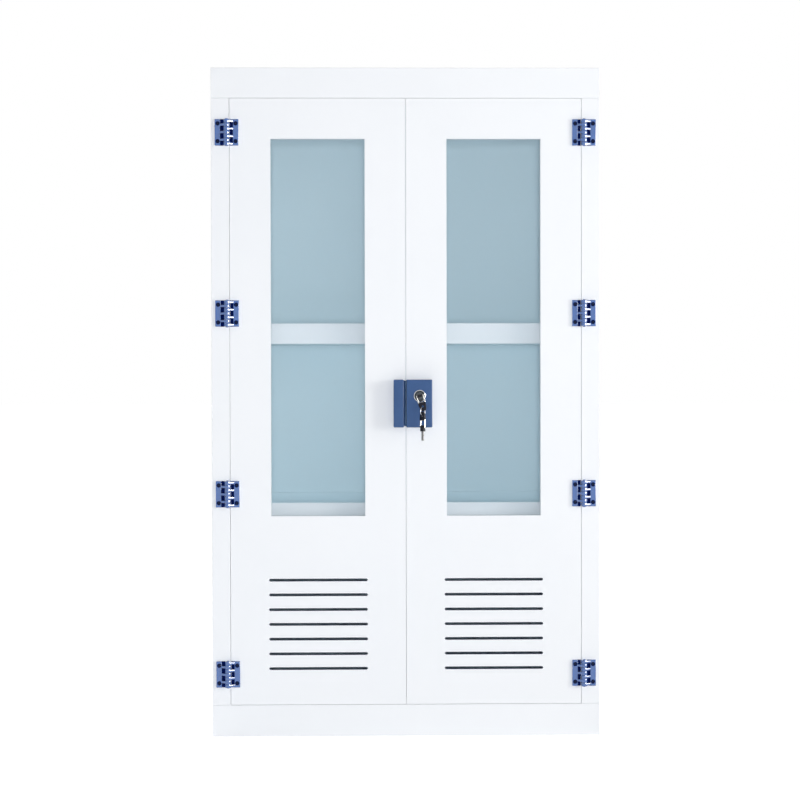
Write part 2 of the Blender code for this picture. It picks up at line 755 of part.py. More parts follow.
def make_lock(left_door, right_door):
    """Keeper and case, the cylinder in the case, and the plug that carries the cam."""
    keeper_right = -DOOR_INNER - KEEPER_SETBACK
    keeper = lock_box("lock_keeper", -KEEPER_LEFT, keeper_right)
    keeper_way = cam_fall(CYLINDER_RIGHT - keeper_right)
    cut(keeper, cam_window("keeper_window", keeper_right - CASE_WALL, keeper_right, keeper_way))
    foot = block(
        "keeper_foot",
        (keeper_right - CASE_ROUND - SEAM, CASE_BACK - FOOT_THICKNESS, CASE_LOW + CASE_ROUND),
        (-DOOR_INNER, CASE_BACK, CASE_HIGH - CASE_ROUND),
        None,
        cutters,
    )
    join(keeper, foot)
    hang(left_door, keeper)

    case = lock_box("lock_case", DOOR_INNER, CASE_RIGHT)
    case_way = cam_fall(CYLINDER_RIGHT - DOOR_INNER - CASE_WALL)
    cut(case, cam_window("case_window", DOOR_INNER, DOOR_INNER + CASE_WALL, case_way))
    through = cone(
        "cylinder_hole",
        BARREL_RADIUS + SEAM,
        BARREL_RADIUS + SEAM,
        CASE_WALL + 2 * OVERRUN,
        CYLINDER_SIDES,
        facing(CYLINDER_RIGHT, CASE_FRONT + CASE_WALL / 2, CYLINDER_Z),
        None,
        cutters,
    )
    cut(case, through)

    # heights run towards the viewer from the case's front face
    face = facing(CYLINDER_RIGHT, CASE_FRONT, CYLINDER_Z)
    flange_top = SEAM + FLANGE_THICKNESS
    bore = PLUG_RADIUS + SEAM
    profile = [
        (bore, flange_top),
        (FLANGE_RADIUS - FLANGE_ROUND, flange_top),
        (FLANGE_RADIUS, flange_top - FLANGE_ROUND),
        (FLANGE_RADIUS, SEAM),
        (BARREL_RADIUS, SEAM),
        (BARREL_RADIUS, -BARREL_LENGTH),
        (bore, -BARREL_LENGTH),
    ]
    cylinder = shade_round(turned("lock_cylinder", profile, CYLINDER_SIDES, face, CHROME))
    hang(right_door, case, cylinder)

    turn = Matrix.Rotation(KEY_TILT, 4, "Z")
    lock_axis = pivot("lock_axis", (CYLINDER_RIGHT, CASE_FRONT, CYLINDER_Z), right_door)
    shoulder = -BARREL_LENGTH - SEAM
    spigot_end = shoulder - 3 * SEAM - CAM_THICKNESS
    plug_face = flange_top - SEAM
    body = [
        (0.0, plug_face),
        (PLUG_RADIUS, plug_face),
        (PLUG_RADIUS, shoulder),
        (0.0, shoulder),
    ]
    plug = turned("lock_plug", body, CYLINDER_SIDES, face, STEEL_WIRE)
    spigot = block(
        "spigot",
        (-SPIGOT / 2, -SPIGOT / 2, spigot_end),
        (SPIGOT / 2, SPIGOT / 2, shoulder + OVERRUN / 2),
        None,
        cutters,
    )
    spigot.matrix_world = face @ spigot.matrix_world
    keyway = block(
        "keyway",
        (
            -BLADE_WIDTH / 2 - SEAM,
            -BLADE_THICKNESS / 2 - SEAM,
            plug_face - BLADE_LENGTH - SEAM,
        ),
        (BLADE_WIDTH / 2 + SEAM, BLADE_THICKNESS / 2 + SEAM, plug_face + OVERRUN),
        None,
        cutters,
    )
    keyway.matrix_world = face @ turn @ keyway.matrix_world
    cut(join(plug, spigot), keyway)

    half = CAM_WIDTH / 2
    boss = arc((0, 0), half, 0, pi, BORE_SIDES)
    tip = arc((0, half - CAM_REACH), half, pi, 2 * pi, BORE_SIDES)
    hole = SPIGOT / 2 + SEAM
    cam_place = facing(CYLINDER_RIGHT, CAM_FRONT + CAM_THICKNESS / 2, CYLINDER_Z)
    square = rectangle(-hole, -hole, hole, hole)
    cam = sheet("lock_cam", [boss + tip, square], CAM_THICKNESS, cam_place, STEEL_WIRE)
    hang(lock_axis, plug, cam)
    return lock_axis


def make_shank(name, place):
    """Key shank: local Z is the way out of the lock, local X the rivet's line, rivet at zero."""
    hub_back = RIVET_FROM_END - HUB_LENGTH
    hub = block(
        name,
        (-HUB_WIDTH / 2, -HUB_THICKNESS / 2, hub_back),
        (HUB_WIDTH / 2, HUB_THICKNESS / 2, RIVET_FROM_END),
        None,
    )
    round_edges(hub, HUB_ROUND, ROUND_STEPS)
    blade = block(
        name + "_blade",
        (-BLADE_WIDTH / 2, -BLADE_THICKNESS / 2, hub_back - BLADE_LENGTH),
        (BLADE_WIDTH / 2, BLADE_THICKNESS / 2, hub_back + HUB_ROUND * 2),
        None,
        cutters,
    )
    rivet_length = HUB_WIDTH + 2 * (LEG_THICKNESS + 2 * SEAM)
    rivet = cone(
        name + "_rivet",
        RIVET_RADIUS,
        RIVET_RADIUS,
        rivet_length,
        BORE_SIDES,
        Matrix.Rotation(pi / 2, 4, "Y"),
        None,
        cutters,
    )
    settle(join(hub, blade, rivet))
    hub.data.transform(hub.matrix_world)
    hub.matrix_world = place
    hub.data.materials.append(new_material(name, *STEEL_WIRE))
    return hub


def make_bow(name, place):
    """Folding bow: two legs on the rivet and a grip with an eye. Local Y points to the rivet."""
    inner = HUB_WIDTH / 2 + SEAM
    outer = inner + LEG_THICKNESS
    half = GRIP_WIDTH / 2
    foot = half * GRIP_FOOT_SHARE
    corner = GRIP_HEIGHT * GRIP_CORNER_SHARE
    top = -LEG_LENGTH
    low = top - GRIP_HEIGHT
    right = [
        (foot - corner, low),
        (foot, low + corner),
        (half, top - corner),
        (outer, top),
        (outer, LEG_END),
        (inner, LEG_END),
        (inner, top),
    ]
    outline = right + [(-x, y) for x, y in reversed(right)]
    eye_y = top - GRIP_HEIGHT / 2
    eye = arc((0, eye_y), EYE_RADIUS, 0, 2 * pi, 2 * BORE_SIDES)[:-1]
    bow = sheet(name, [outline, eye], BOW_THICKNESS, Matrix.Identity(4), None)
    hole_radius = (RIVET_RADIUS + SEAM) / cos(pi / BORE_SIDES)
    hole = cone(
        name + "_rivet_hole",
        hole_radius,
        hole_radius,
        2 * (outer + OVERRUN),
        BORE_SIDES,
        Matrix.Rotation(pi / 2, 4, "Y"),
        None,
        cutters,
    )
    settle(cut(round_edges(bow, BOW_ROUND), hole))
    bow.matrix_world = place
    bow.data.materials.append(new_material(name, *BLACK_MOULDING))
    return bow


def make_keys(lock_axis):
    """The key in the plug with its bow folded down, the split ring and the spare key on it."""
    tilt = Matrix.Rotation(KEY_TILT, 4, "Z")
    rivet_place = facing(CYLINDER_RIGHT, RIVET_Y, CYLINDER_Z) @ tilt
    shank = make_shank("key_shank", rivet_place)
    slide = pivot("key_slide", (CYLINDER_RIGHT, FLANGE_FRONT, CYLINDER_Z), lock_axis)
    hang(slide, shank)

    bow = make_bow("key_bow", rivet_place)
    fold = pivot("key_fold_axis", (CYLINDER_RIGHT, RIVET_Y, CYLINDER_Z), slide)
    hang(fold, bow)

    eye_drop = LEG_LENGTH + GRIP_HEIGHT / 2
    eye = rivet_place @ Vector((0, -eye_drop, 0))
    ring_top = eye - Vector((0, 0, RING_DROP))
    ring_middle = ring_top - Vector((0, 0, RING_RADIUS))
    ring_plane = Matrix.Rotation(-RING_TURN, 4, "Z") @ Matrix.Rotation(pi / 2, 4, "Y")
    bpy.ops.mesh.primitive_torus_add(
        major_radius=RING_RADIUS,
        minor_radius=WIRE_RADIUS,
        major_segments=RING_SIDES,
        minor_segments=WIRE_SIDES,
    )
    ring = bpy.context.object
    ring.name = "key_ring"
    for holder in list(ring.users_collection):
        holder.objects.unlink(ring)
    parts.objects.link(ring)
    ring.matrix_world = Matrix.Translation(ring_middle) @ ring_plane
    ring.data.materials.append(new_material("key_ring", *STEEL_WIRE))
    shade_round(ring)
    swing = pivot("ring_swing_axis", ring_top, fold)
    hang(swing, ring)

    ring_low = ring_middle - Vector((0, 0, RING_RADIUS))
    spare_eye = ring_low - Vector((0, 0, RING_DROP))
    spare_turn = Matrix.Rotation(-SPARE_TURN, 4, "Z")
    spare_rivet = Matrix.Translation(spare_eye - Vector((0, 0, eye_drop))) @ spare_turn
    upright = Matrix.Rotation(pi / 2, 4, "X") @ Matrix.Rotation(pi, 4, "Z")
    spare_bow = make_bow("spare_key_bow", spare_rivet @ upright)
    spare_shank = make_shank("spare_key_shank", spare_rivet)
    spare_swing = pivot("spare_swing_axis", ring_low, swing)
    hang(spare_swing, spare_bow, spare_shank)


clear_scene()
parts = new_collection("reagent_cabinet")
cutters = new_collection("cutters")
make_carcass()
make_door_stops()
make_trays()
left_axis = make_door(-1, "left")
right_axis = make_door(1, "right")
make_hinges(left_axis, right_axis)
make_keys(make_lock(left_axis, right_axis))
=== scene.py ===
# Reagent cabinet: the finishes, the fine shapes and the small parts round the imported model.
# Metres, +Z up, the doors towards -Y. Every piece rides on the body that carries it.
import random
from math import cos, pi, radians, sin, tau

import bmesh
import bpy
from mathutils import Matrix, Vector


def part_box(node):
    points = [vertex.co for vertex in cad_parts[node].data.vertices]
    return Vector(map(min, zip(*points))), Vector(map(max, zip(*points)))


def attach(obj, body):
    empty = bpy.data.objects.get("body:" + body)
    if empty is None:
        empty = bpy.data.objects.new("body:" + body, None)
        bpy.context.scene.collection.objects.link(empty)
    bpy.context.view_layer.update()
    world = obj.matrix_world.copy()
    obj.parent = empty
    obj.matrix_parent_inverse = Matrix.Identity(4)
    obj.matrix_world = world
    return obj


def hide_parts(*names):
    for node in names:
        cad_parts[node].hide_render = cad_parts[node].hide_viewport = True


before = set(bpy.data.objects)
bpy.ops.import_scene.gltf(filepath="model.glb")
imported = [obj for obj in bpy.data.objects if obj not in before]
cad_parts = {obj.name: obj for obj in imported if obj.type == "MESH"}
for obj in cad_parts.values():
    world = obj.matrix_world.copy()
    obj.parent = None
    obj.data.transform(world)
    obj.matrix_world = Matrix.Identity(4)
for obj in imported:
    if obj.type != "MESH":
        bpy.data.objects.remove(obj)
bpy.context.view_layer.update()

# Camera: a long lens 4.6 m off the doors, a little left of the middle and above half height, where
# the photograph's door edges and slots line up. Its yaw, pitch and roll are the photograph's.
CAMERA_DISTANCE = 4.6
CAMERA_LEFT = 0.0999
CAMERA_HEIGHT = 0.8595
CAMERA_YAW = radians(1.072)
CAMERA_PITCH = radians(-0.976)
CAMERA_ROLL = radians(-0.105)
LENS_MM = 89.25

door_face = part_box("header")[0].y
camera = bpy.data.objects.new("camera", bpy.data.cameras.new("camera"))
camera.data.lens = LENS_MM
camera.matrix_world = (
    Matrix.Translation((-CAMERA_LEFT, door_face - CAMERA_DISTANCE, CAMERA_HEIGHT))
    @ Matrix.Rotation(-CAMERA_YAW, 4, "Z")
    @ Matrix.Rotation(pi / 2 + CAMERA_PITCH, 4, "X")
    @ Matrix.Rotation(CAMERA_ROLL, 4, "Z")
)
bpy.context.scene.collection.objects.link(camera)
bpy.context.scene.camera = camera

# Studio: a white sweep and a white room, which show as plain white with the cabinet's own faint
# shadow, and four soft lamps: a wide key far to the right, a fill at the camera that reaches into
# the cabinet, a sheen for the hinges' highlights, and a rim for the back, left side and top.
FLOOR_SIDE = 80.0
FLOOR_WHITE = "#F2F2F3"
FLOOR_GLOW = 0.87
FLOOR_SHADOW_SHARE = 0.40
ROOM_LIGHT = 0.36
ROOM_COLOUR = "#F8FAFD"
KEY_COLOUR = "#FFFCF8"
FILL_COLOUR = "#F8F9FC"
LAMP_AIM = Vector((0.0, -0.2, 0.8))
KEY_SIZE = (2.3, 1.6)  # width and height
KEY_PLACE = Vector((4.8, -2.95, 1.3))
KEY_WATTS = 108.0
FILL_SIZE = (0.16, 0.5)
FILL_PLACE = Vector((-0.1, -5.2, 0.87))
FILL_WATTS = 98.0
SHEEN_SIZE = (4.4, 2.1)
SHEEN_PLACE = Vector((4.3, -2.6, 1.15))
SHEEN_WATTS = 310.0
RIM_SIZE = (1.8, 1.8)
RIM_PLACE = Vector((-3.0, 2.5, 3.5))
RIM_WATTS = 110.0


def linear(colour):
    """An sRGB colour written #RRGGBB, as linear red, green and blue with an alpha of one."""
    parts = [int(colour[place : place + 2], 16) / 255 for place in (1, 3, 5)]
    light = [c / 12.92 if c <= 0.04045 else ((c + 0.055) / 1.055) ** 2.4 for c in parts]
    return (*light, 1.0)


def add(tree, kind, inputs=None, **settings):
    """A node with its settings. An input is a value, or another node's output to link."""
    node = tree.nodes.new("ShaderNode" + kind)
    for name, value in settings.items():
        setattr(node, name, value)
    for name, value in (inputs or {}).items():
        if isinstance(value, bpy.types.NodeSocket):
            tree.links.new(value, node.inputs[name])
        else:
            node.inputs[name].default_value = value
    return node


def new_material(name):
    """An empty material and its node tree."""
    material = bpy.data.materials.new(name)
    material.use_nodes = True
    material.node_tree.nodes.clear()
    return material, material.node_tree


def show(tree, shader):
    """Makes a shader's output the surface of its material."""
    add(tree, "OutputMaterial", {"Surface": shader})


def shown_ray(tree):
    """One for rays of the camera, of mirrors and of clear glass, and nought for the rest."""
    path = add(tree, "LightPath")
    direct = {0: path.outputs["Is Camera Ray"], 1: path.outputs["Is Glossy Ray"]}
    mirrored = add(tree, "Math", direct, operation="MAXIMUM")
    both = {0: mirrored.outputs[0], 1: path.outputs["Is Transmission Ray"]}
    return add(tree, "Math", both, operation="MAXIMUM").outputs[0]


def place_object(name, data, matrix=None):
    """An object of that name in the scene, where the matrix says."""
    obj = bpy.data.objects.new(name, data)
    obj.matrix_world = matrix or Matrix.Identity(4)
    bpy.context.scene.collection.objects.link(obj)
    return obj


white_sweep, tree = new_material("white_paper_sweep")
paper = add(tree, "BsdfDiffuse", {"Color": linear(FLOOR_WHITE)})
shade = FLOOR_SHADOW_SHARE
thin_paper = add(tree, "BsdfDiffuse", {"Color": (shade, shade, shade, 1.0)})
glow = add(tree, "Emission", {"Strength": FLOOR_GLOW})
shown = add(tree, "AddShader", {0: glow.outputs[0], 1: thin_paper.outputs[0]})
sweep = add(tree, "MixShader", {0: shown_ray(tree), 1: paper.outputs[0], 2: shown.outputs[0]})
show(tree, sweep.outputs[0])

shape = bmesh.new()
bmesh.ops.create_grid(shape, x_segments=1, y_segments=1, size=FLOOR_SIDE / 2)
floor_mesh = bpy.data.meshes.new("floor")
shape.to_mesh(floor_mesh)
shape.free()
floor_mesh.materials.append(white_sweep)
place_object("floor", floor_mesh)

room = bpy.data.worlds.new("white_room")
room.use_nodes = True
room.node_tree.nodes.clear()
tree = room.node_tree
walls = add(tree, "Background", {"Color": linear(ROOM_COLOUR), "Strength": ROOM_LIGHT})
backdrop = add(tree, "Background", {"Color": (1.0, 1.0, 1.0, 1.0), "Strength": 1.0})
seen = add(tree, "MixShader", {0: shown_ray(tree), 1: walls.outputs[0], 2: backdrop.outputs[0]})
add(tree, "OutputWorld", {"Surface": seen.outputs[0]})
bpy.context.scene.world = room
bpy.context.scene.view_settings.view_transform = "Standard"


def softbox(name, colour, size, place, watts):
    """A flat lamp, so wide and so high, that shines at the cabinet."""
    data = bpy.data.lights.new(name, "AREA")
    data.shape = "RECTANGLE"
    data.size, data.size_y = size
    data.energy = watts
    data.color = linear(colour)[:3]
    lamp = place_object(name, data, Matrix.Translation(place))
    lamp.rotation_euler = (LAMP_AIM - place).to_track_quat("-Z", "Y").to_euler()
    return lamp


softbox("key_softbox", KEY_COLOUR, KEY_SIZE, KEY_PLACE, KEY_WATTS)
fill = softbox("fill_softbox", FILL_COLOUR, FILL_SIZE, FILL_PLACE, FILL_WATTS)
fill.visible_glossy = False  # no glare of it on the panes and the boards
sheen = softbox("sheen_softbox", KEY_COLOUR, SHEEN_SIZE, SHEEN_PLACE, SHEEN_WATTS)
sheen.visible_diffuse = False  # seen only as a highlight
rim = softbox("rim_softbox", FILL_COLOUR, RIM_SIZE, RIM_PLACE, RIM_WATTS)
rim.visible_glossy = False

# Boards of the carcass and the doors: 8 mm extruded polypropylene sheet, sawn, scraped on the
# edges and welded. The sheet is satin white, with faint die lines up its length and a fine grain.
# The back's inner face has a cooler, bluer white painted as the shade of the closed interior, and
# the slots' walls and rims have a dark blue painted as the shade inside them.
HANDS = ("left", "right")
BOARD_WHITE = "#F4F6F8"
BOARD_SHADE = "#F0F3F6"
# Cooler, bluer whites painted on the inner faces as the shade of the closed interior.
INNER_SHADE_WHITE = "#E4FAFF"
INNER_SHADE_DARKER = "#DEF6FD"
# Dark blues painted on the slots' walls and rims as the shade inside the slots.
SLOT_PAINTED_SHADE = "#0A1C5C"
SLOT_PAINTED_SHADE_DARK = "#08184E"
SLOT_FIRST = 0.1577  # height of the lowest slot's middle
SLOT_PITCH = 0.0343
SLOT_COUNT = 7
SLOT_MIDDLE = 0.2038  # from the cabinet's middle to the middle of each door's slots
SLOT_HALF_LENGTH = 0.11365
SLOT_RADIUS = 0.0026
SLOT_SHADE_REACH = 0.0006  # how far the painted shade comes out onto the door's faces
SKIN_DEPTH = 0.001  # how far a face's own colour goes in
BOARD_ROUGHNESS = (0.36, 0.50)
BOARD_BLOTCH_MM = 260.0
DIE_LINE_MM = 5.0
DIE_LINE_RUN_MM = 900.0
DIE_LINE_RELIEF = (0.05, 0.0004)  # strength, and depth in metres
GRAIN_MM = 1.6  # the real grain is a fifth of this, too fine to show
BOARD_RELIEF = (0.10, 0.0002)
PLASTIC = {"IOR": 1.49}


def across(size_mm):
    """The scale of a pattern whose features are that many millimetres across."""
    return 1000.0 / size_mm


def noise(tree, place, size_mm, detail, twist=0.0):
    """A noise with features of that size."""
    inputs = {"Vector": place, "Scale": across(size_mm), "Detail": detail, "Distortion": twist}
    return add(tree, "TexNoise", inputs).outputs["Fac"]


def drawn_noise(tree, place, scales, detail):
    """A noise with a scale of its own along each axis."""
    drawn = add(tree, "Mapping", {"Vector": place, "Scale": scales}).outputs[0]
    inputs = {"Vector": drawn, "Scale": 1.0, "Detail": detail}
    return add(tree, "TexNoise", inputs).outputs["Fac"]


def spread(tree, value, low, high):
    """The value, which runs from nought to one, spread from low to high."""
    return add(tree, "MapRange", {"Value": value, "To Min": low, "To Max": high}).outputs[0]


def calc(tree, operation, *values):
    """The result of a sum on numbers or other nodes' outputs."""
    return add(tree, "Math", dict(enumerate(values)), operation=operation).outputs[0]


def mixed(tree, factor, first, second):
    """Two colours, mixed from the first at nought to the second at one."""
    inputs = {"Factor": factor, "A": first, "B": second}
    return add(tree, "Mix", inputs, data_type="RGBA").outputs["Result"]


def bump(tree, height, relief, under=None):
    """A relief, given by its strength and its depth in metres, over another one if there is one."""
    strength, depth = relief
    inputs = {"Height": height, "Strength": strength, "Distance": depth}
    if under is not None:
        inputs["Normal"] = under
    return add(tree, "Bump", inputs).outputs[0]


def coat(tree, colour, roughness, normal=None, others=None):
    """A principled shader with these inputs and any others."""
    inputs = {"Base Color": colour, "Roughness": roughness, **(others or {})}
    if normal is not None:
        inputs["Normal"] = normal
    return add(tree, "BsdfPrincipled", inputs).outputs[0]


def slot_painted_shade(tree, place):
    """The slots' walls and the rims beside them: where they are, and the dark blues painted there
    as the shade inside the slots.
    """
    axes = add(tree, "SeparateXYZ", {"Vector": place})
    step = calc(tree, "DIVIDE", calc(tree, "SUBTRACT", axes.outputs["Z"], SLOT_FIRST), SLOT_PITCH)
    nearest = calc(tree, "MAXIMUM", calc(tree, "ROUND", step), 0.0)
    nearest = calc(tree, "MINIMUM", nearest, SLOT_COUNT - 1.0)
    rise = calc(tree, "MULTIPLY", calc(tree, "SUBTRACT", step, nearest), SLOT_PITCH)
    along = calc(tree, "SUBTRACT", calc(tree, "ABSOLUTE", axes.outputs["X"]), SLOT_MIDDLE)
    past = calc(tree, "SUBTRACT", calc(tree, "ABSOLUTE", along), SLOT_HALF_LENGTH - SLOT_RADIUS)
    past = calc(tree, "MAXIMUM", past, 0.0)
    squares = [calc(tree, "MULTIPLY", reach, reach) for reach in (rise, past)]
    off = calc(tree, "SQRT", calc(tree, "ADD", *squares))
    near = calc(tree, "LESS_THAN", off, SLOT_RADIUS + SLOT_SHADE_REACH)
    return near, SLOT_PAINTED_SHADE, SLOT_PAINTED_SHADE_DARK


def inner_shade_patch(tree, place):
    """The back's inner face: where it is, and the cooler whites painted on it as the interior's
    shade.
    """
    depth = add(tree, "SeparateXYZ", {"Vector": place}).outputs["Y"]
    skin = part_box("back_panel")[0].y + SKIN_DEPTH
    return calc(tree, "LESS_THAN", depth, skin), INNER_SHADE_WHITE, INNER_SHADE_DARKER


def extruded_sheet(name, patch=None):
    """Satin sheet with faint blotches, die lines up its length and a fine grain. A patch says where
    the sheet has two other colours."""
    material, tree = new_material(name)
    place = add(tree, "TexCoord").outputs["Object"]
    blotch = noise(tree, place, BOARD_BLOTCH_MM, detail=3.0)
    tone = mixed(tree, blotch, linear(BOARD_SHADE), linear(BOARD_WHITE))
    if patch:
        where, light, dark = patch(tree, place)
        tone = mixed(tree, where, tone, mixed(tree, blotch, linear(dark), linear(light)))
    scales = (across(DIE_LINE_MM), across(DIE_LINE_MM), across(DIE_LINE_RUN_MM))
    die_lines = bump(tree, drawn_noise(tree, place, scales, detail=2.0), DIE_LINE_RELIEF)
    grain = noise(tree, place, GRAIN_MM, detail=2.0)
    relief = bump(tree, grain, BOARD_RELIEF, die_lines)
    show(tree, coat(tree, tone, spread(tree, blotch, *BOARD_ROUGHNESS), relief, PLASTIC))
    return material


def finish_nodes(material, names):
    """Gives CAD nodes their material."""
    for name in names:
        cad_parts[name].material_slots[0].material = material


boards = ["header", "plinth", "top_panel", "floor_panel", "door_stop_top", "door_sill"]
for kind in ("side_panel", "stile", "door_post", "door_frame"):
    boards += ["%s_%s" % (kind, hand) for hand in HANDS]
skins = ["door_skin_" + hand for hand in HANDS]
finish_nodes(extruded_sheet("extruded_white_polypropylene"), boards)
finish_nodes(extruded_sheet("slotted_white_polypropylene", slot_painted_shade), skins)
finish_nodes(extruded_sheet("polypropylene_with_painted_inner_shade", inner_shade_patch), ["back_panel"])

# Welds of the carcass: rods of the same polypropylene, melted into each inside corner by a hot-air
# gun. They stand as ridges with a slight ripple and a glassier skin than the sheet.
WELD_WHITE = "#F4F6F9"
WELD_ROUGHNESS = (0.22, 0.38)
WELD_RADIUS = 0.0020
WELD_STAND_SHARE = 0.6  # of the radius: how far the rod's middle stands off each board
WELD_STEP = 0.012
WELD_ROUNDING = 2
WELD_RIPPLE_SHARE = 0.10
WELD_RIPPLE_MM = 3.0
WELD_RELIEF = (0.5, 0.0004)
WELD_SEED = 7

weld_rod, tree = new_material("welded_polypropylene_rod")
place = add(tree, "TexCoord").outputs["Object"]
ripple = noise(tree, place, WELD_RIPPLE_MM, detail=1.0)
ridges = bump(tree, ripple, WELD_RELIEF)
show(tree, coat(tree, linear(WELD_WHITE), spread(tree, ripple, *WELD_ROUGHNESS), ridges))
welder = random.Random(WELD_SEED)


def wire(name, radius, rounding, points, material):
    """A round wire through places, each with its share of the radius."""
    curve = bpy.data.curves.new(name, "CURVE")
    curve.dimensions = "3D"
    curve.bevel_depth = radius
    curve.bevel_resolution = rounding
    curve.use_fill_caps = True
    line = curve.splines.new("POLY")
    line.points.add(len(points) - 1)
    for point, (place, share) in zip(line.points, points):
        point.co = (*place, 1.0)
        point.radius = share
    curve.materials.append(material)
    return place_object(name, curve)


def weld(name, start, end):
    """A ridge of weld from one end of a corner to the other."""
    start, end = Vector(start), Vector(end)
    count = max(2, round((end - start).length / WELD_STEP))
    points = []
    for step in range(count + 1):
        share = 1.0 + WELD_RIPPLE_SHARE * welder.uniform(-1.0, 1.0)
        points.append((start.lerp(end, step / count), share))
    ridge = wire(name, WELD_RADIUS, WELD_ROUNDING, points, weld_rod)
    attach(ridge, "carcass")


floor_low, floor_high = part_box("floor_panel")
stand = WELD_RADIUS * WELD_STAND_SHARE
wall_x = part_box("side_panel_left")[1].x + stand
rear_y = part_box("back_panel")[0].y - stand
front_y = floor_low.y + stand
ceiling_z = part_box("top_panel")[0].z - stand
bottom_z = floor_high.z + stand
underside_z = floor_low.z - stand
walls = (("left", wall_x), ("right", -wall_x))
levels = (("ceiling", ceiling_z), ("bottom", bottom_z), ("underside", underside_z))
for level, height in levels:
    for hand, x in walls:
        weld("weld_%s_%s" % (level, hand), (x, front_y, height), (x, rear_y, height))
    weld("weld_%s_rear" % level, (wall_x, rear_y, height), (-wall_x, rear_y, height))
front_corner = (wall_x, front_y, underside_z)
weld("weld_underside_front", front_corner, (-wall_x, front_y, underside_z))
for hand, x in walls:
    weld("weld_rear_" + hand, (x, rear_y, bottom_z), (x, rear_y, ceiling_z))
for level in ("upper", "lower"):
    for hand, x in walls:
        low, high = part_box("bearer_%s_%s" % (level, hand))
        foot = low.z - stand
        weld("weld_bearer_%s_%s" % (level, hand), (x, low.y, foot), (x, high.y, foot))

# Trays and the angle strips under them: thinner sheet of the same polypropylene, heat-bent into an
# open box. The bends leave it a little glossier than the boards. Behind the lips' front faces it
# has the back's cooler white, painted as the shade of the closed interior.
TRAY_WHITE = "#F8FAFA"
TRAY_SHADE = "#F1F5F6"
TRAY_ROUGHNESS = (0.30, 0.42)
TRAY_BLOTCH_MM = 140.0
TRAY_RELIEF = (0.08, 0.0002)

tray_sheet, tree = new_material("heat_bent_polypropylene_sheet")
place = add(tree, "TexCoord").outputs["Object"]
blotch = noise(tree, place, TRAY_BLOTCH_MM, detail=3.0)
tone = mixed(tree, blotch, linear(TRAY_SHADE), linear(TRAY_WHITE))
# Painted shade: the inner faces take the back's cooler white.
depth = add(tree, "SeparateXYZ", {"Vector": place}).outputs["Y"]
shaded_inside = calc(tree, "GREATER_THAN", depth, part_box("tray_upper")[0].y + SKIN_DEPTH)
tone = mixed(tree, shaded_inside, tone, linear(INNER_SHADE_DARKER))
relief = bump(tree, noise(tree, place, GRAIN_MM, detail=2.0), TRAY_RELIEF)
show(tree, coat(tree, tone, spread(tree, blotch, *TRAY_ROUGHNESS), relief, PLASTIC))
for level in ("upper", "lower"):
    finish_nodes(tray_sheet, ["tray_" + level])
    finish_nodes(tray_sheet, ["bearer_%s_%s" % (level, hand) for hand in HANDS])

# Window panes: 5 mm clear sheet, held in the rebate of each door's inner frame. A fine bluish haze
# of wiping lies on it, and it mirrors a little of the studio.
PANE_TINT = "#FEFEFF"
PANE_HAZE = "#CCEBF8"
PANE_HAZE_SHARE = 0.12
PANE_ROUGHNESS = (0.05, 0.16)
PANE_WIPE_MM = 60.0

pane_sheet, tree = new_material("tinted_acrylic_sheet")
place = add(tree, "TexCoord").outputs["Object"]
wiped = spread(tree, noise(tree, place, PANE_WIPE_MM, detail=4.0), *PANE_ROUGHNESS)
through = add(tree, "BsdfTransparent", {"Color": linear(PANE_TINT)}).outputs[0]
haze = coat(tree, linear(PANE_HAZE), wiped, others=PLASTIC)
pane = add(tree, "MixShader", {0: PANE_HAZE_SHARE, 1: through, 2: haze})
show(tree, pane.outputs[0])
finish_nodes(pane_sheet, ["window_pane_" + hand for hand in HANDS])

# Hinge leaves: injection-moulded blue polypropylene. Each has a thick screwed plate, a thin floor
# beside it, angled ribs across the floor, and the knuckles that take the pin. The hollows between
# the ribs are unpolished, and a dark blue is painted in them as their shade.
HINGE_BLUE = "#265EA8"
HINGE_BLUE_SHADE = "#1A5298"
# the painted shade that the hinges' hollows darken to
HINGE_PAINTED_SHADE = "#050F3C"
HINGE_ROUGHNESS = (0.18, 0.27)
POLISHED_SKIN = {"Coat Weight": 1.0, "Coat IOR": 1.8, "Coat Roughness": 0.16}
# The pockets' dark blue, painted as their shade.
POCKET_PAINTED_SHADE = "#0B1E5C"
POCKET_PAINTED_SHADE_DARK = "#081850"
POCKET_ROUGHNESS = (0.55, 0.70)
MATT_SKIN = {"Specular IOR Level": 0.0}
HINGE_FLOW_MM = 9.0
HINGE_GRAIN_MM = 0.5
FLOW_TWIST = 0.6
MOULD_RELIEF = (0.2, 0.00006)
HOLLOW_REACH = 0.006  # how far off a wall shades a hollow
HOLLOW_RANGE = (0.30, 0.82)  # how open a spot is where the painted shade is darkest, and where it has gone
HOLLOW_SAMPLES = 8
TURN_LIMIT = radians(25)  # edges that turn by more are rounded
RIM_LIMIT = radians(60)  # and so are a rod's that turn by this
SMOOTH_LIMIT = radians(35)  # edges that turn by more are shaded sharp
POCKET_DEPTH = 0.0030  # from the pin's axis towards the board
POCKET_RIM = 0.0010  # width of the rim that keeps the polish
POCKET_REACH = 0.0145  # from the pin's axis to the plate
LEAF_THICKNESS = 0.0047
LEAF_ROUND = 0.0010
LEAF_OVERLAP = 0.0012  # by which the pieces of a leaf run into each other
FLOOR_THICKNESS = 0.0013
HINGES = 4  # on each side
KNUCKLES = 7
KNUCKLE_GAP = 0.0003
KNUCKLE_ROUND = 0.0005
KNUCKLE_SIDES = 40
BORE_RADIUS = 0.0028
RIB_HEIGHT = 0.005
RIB_TOP_SHARES = (0.6, -0.8)  # of the knuckle's radius: where a rib meets the barrel
RIB_ROUND = 0.0006
SCREW_INSET = 0.0068
SCREW_END = 0.0100
SCREW_RADIUS = 0.0022
COUNTERSINK_RADIUS = 0.0051
COUNTERSINK_SIDES = 32
HOLE_SIDES = 24
CUT_THROUGH = 0.004  # how far a cutter runs past what it cuts


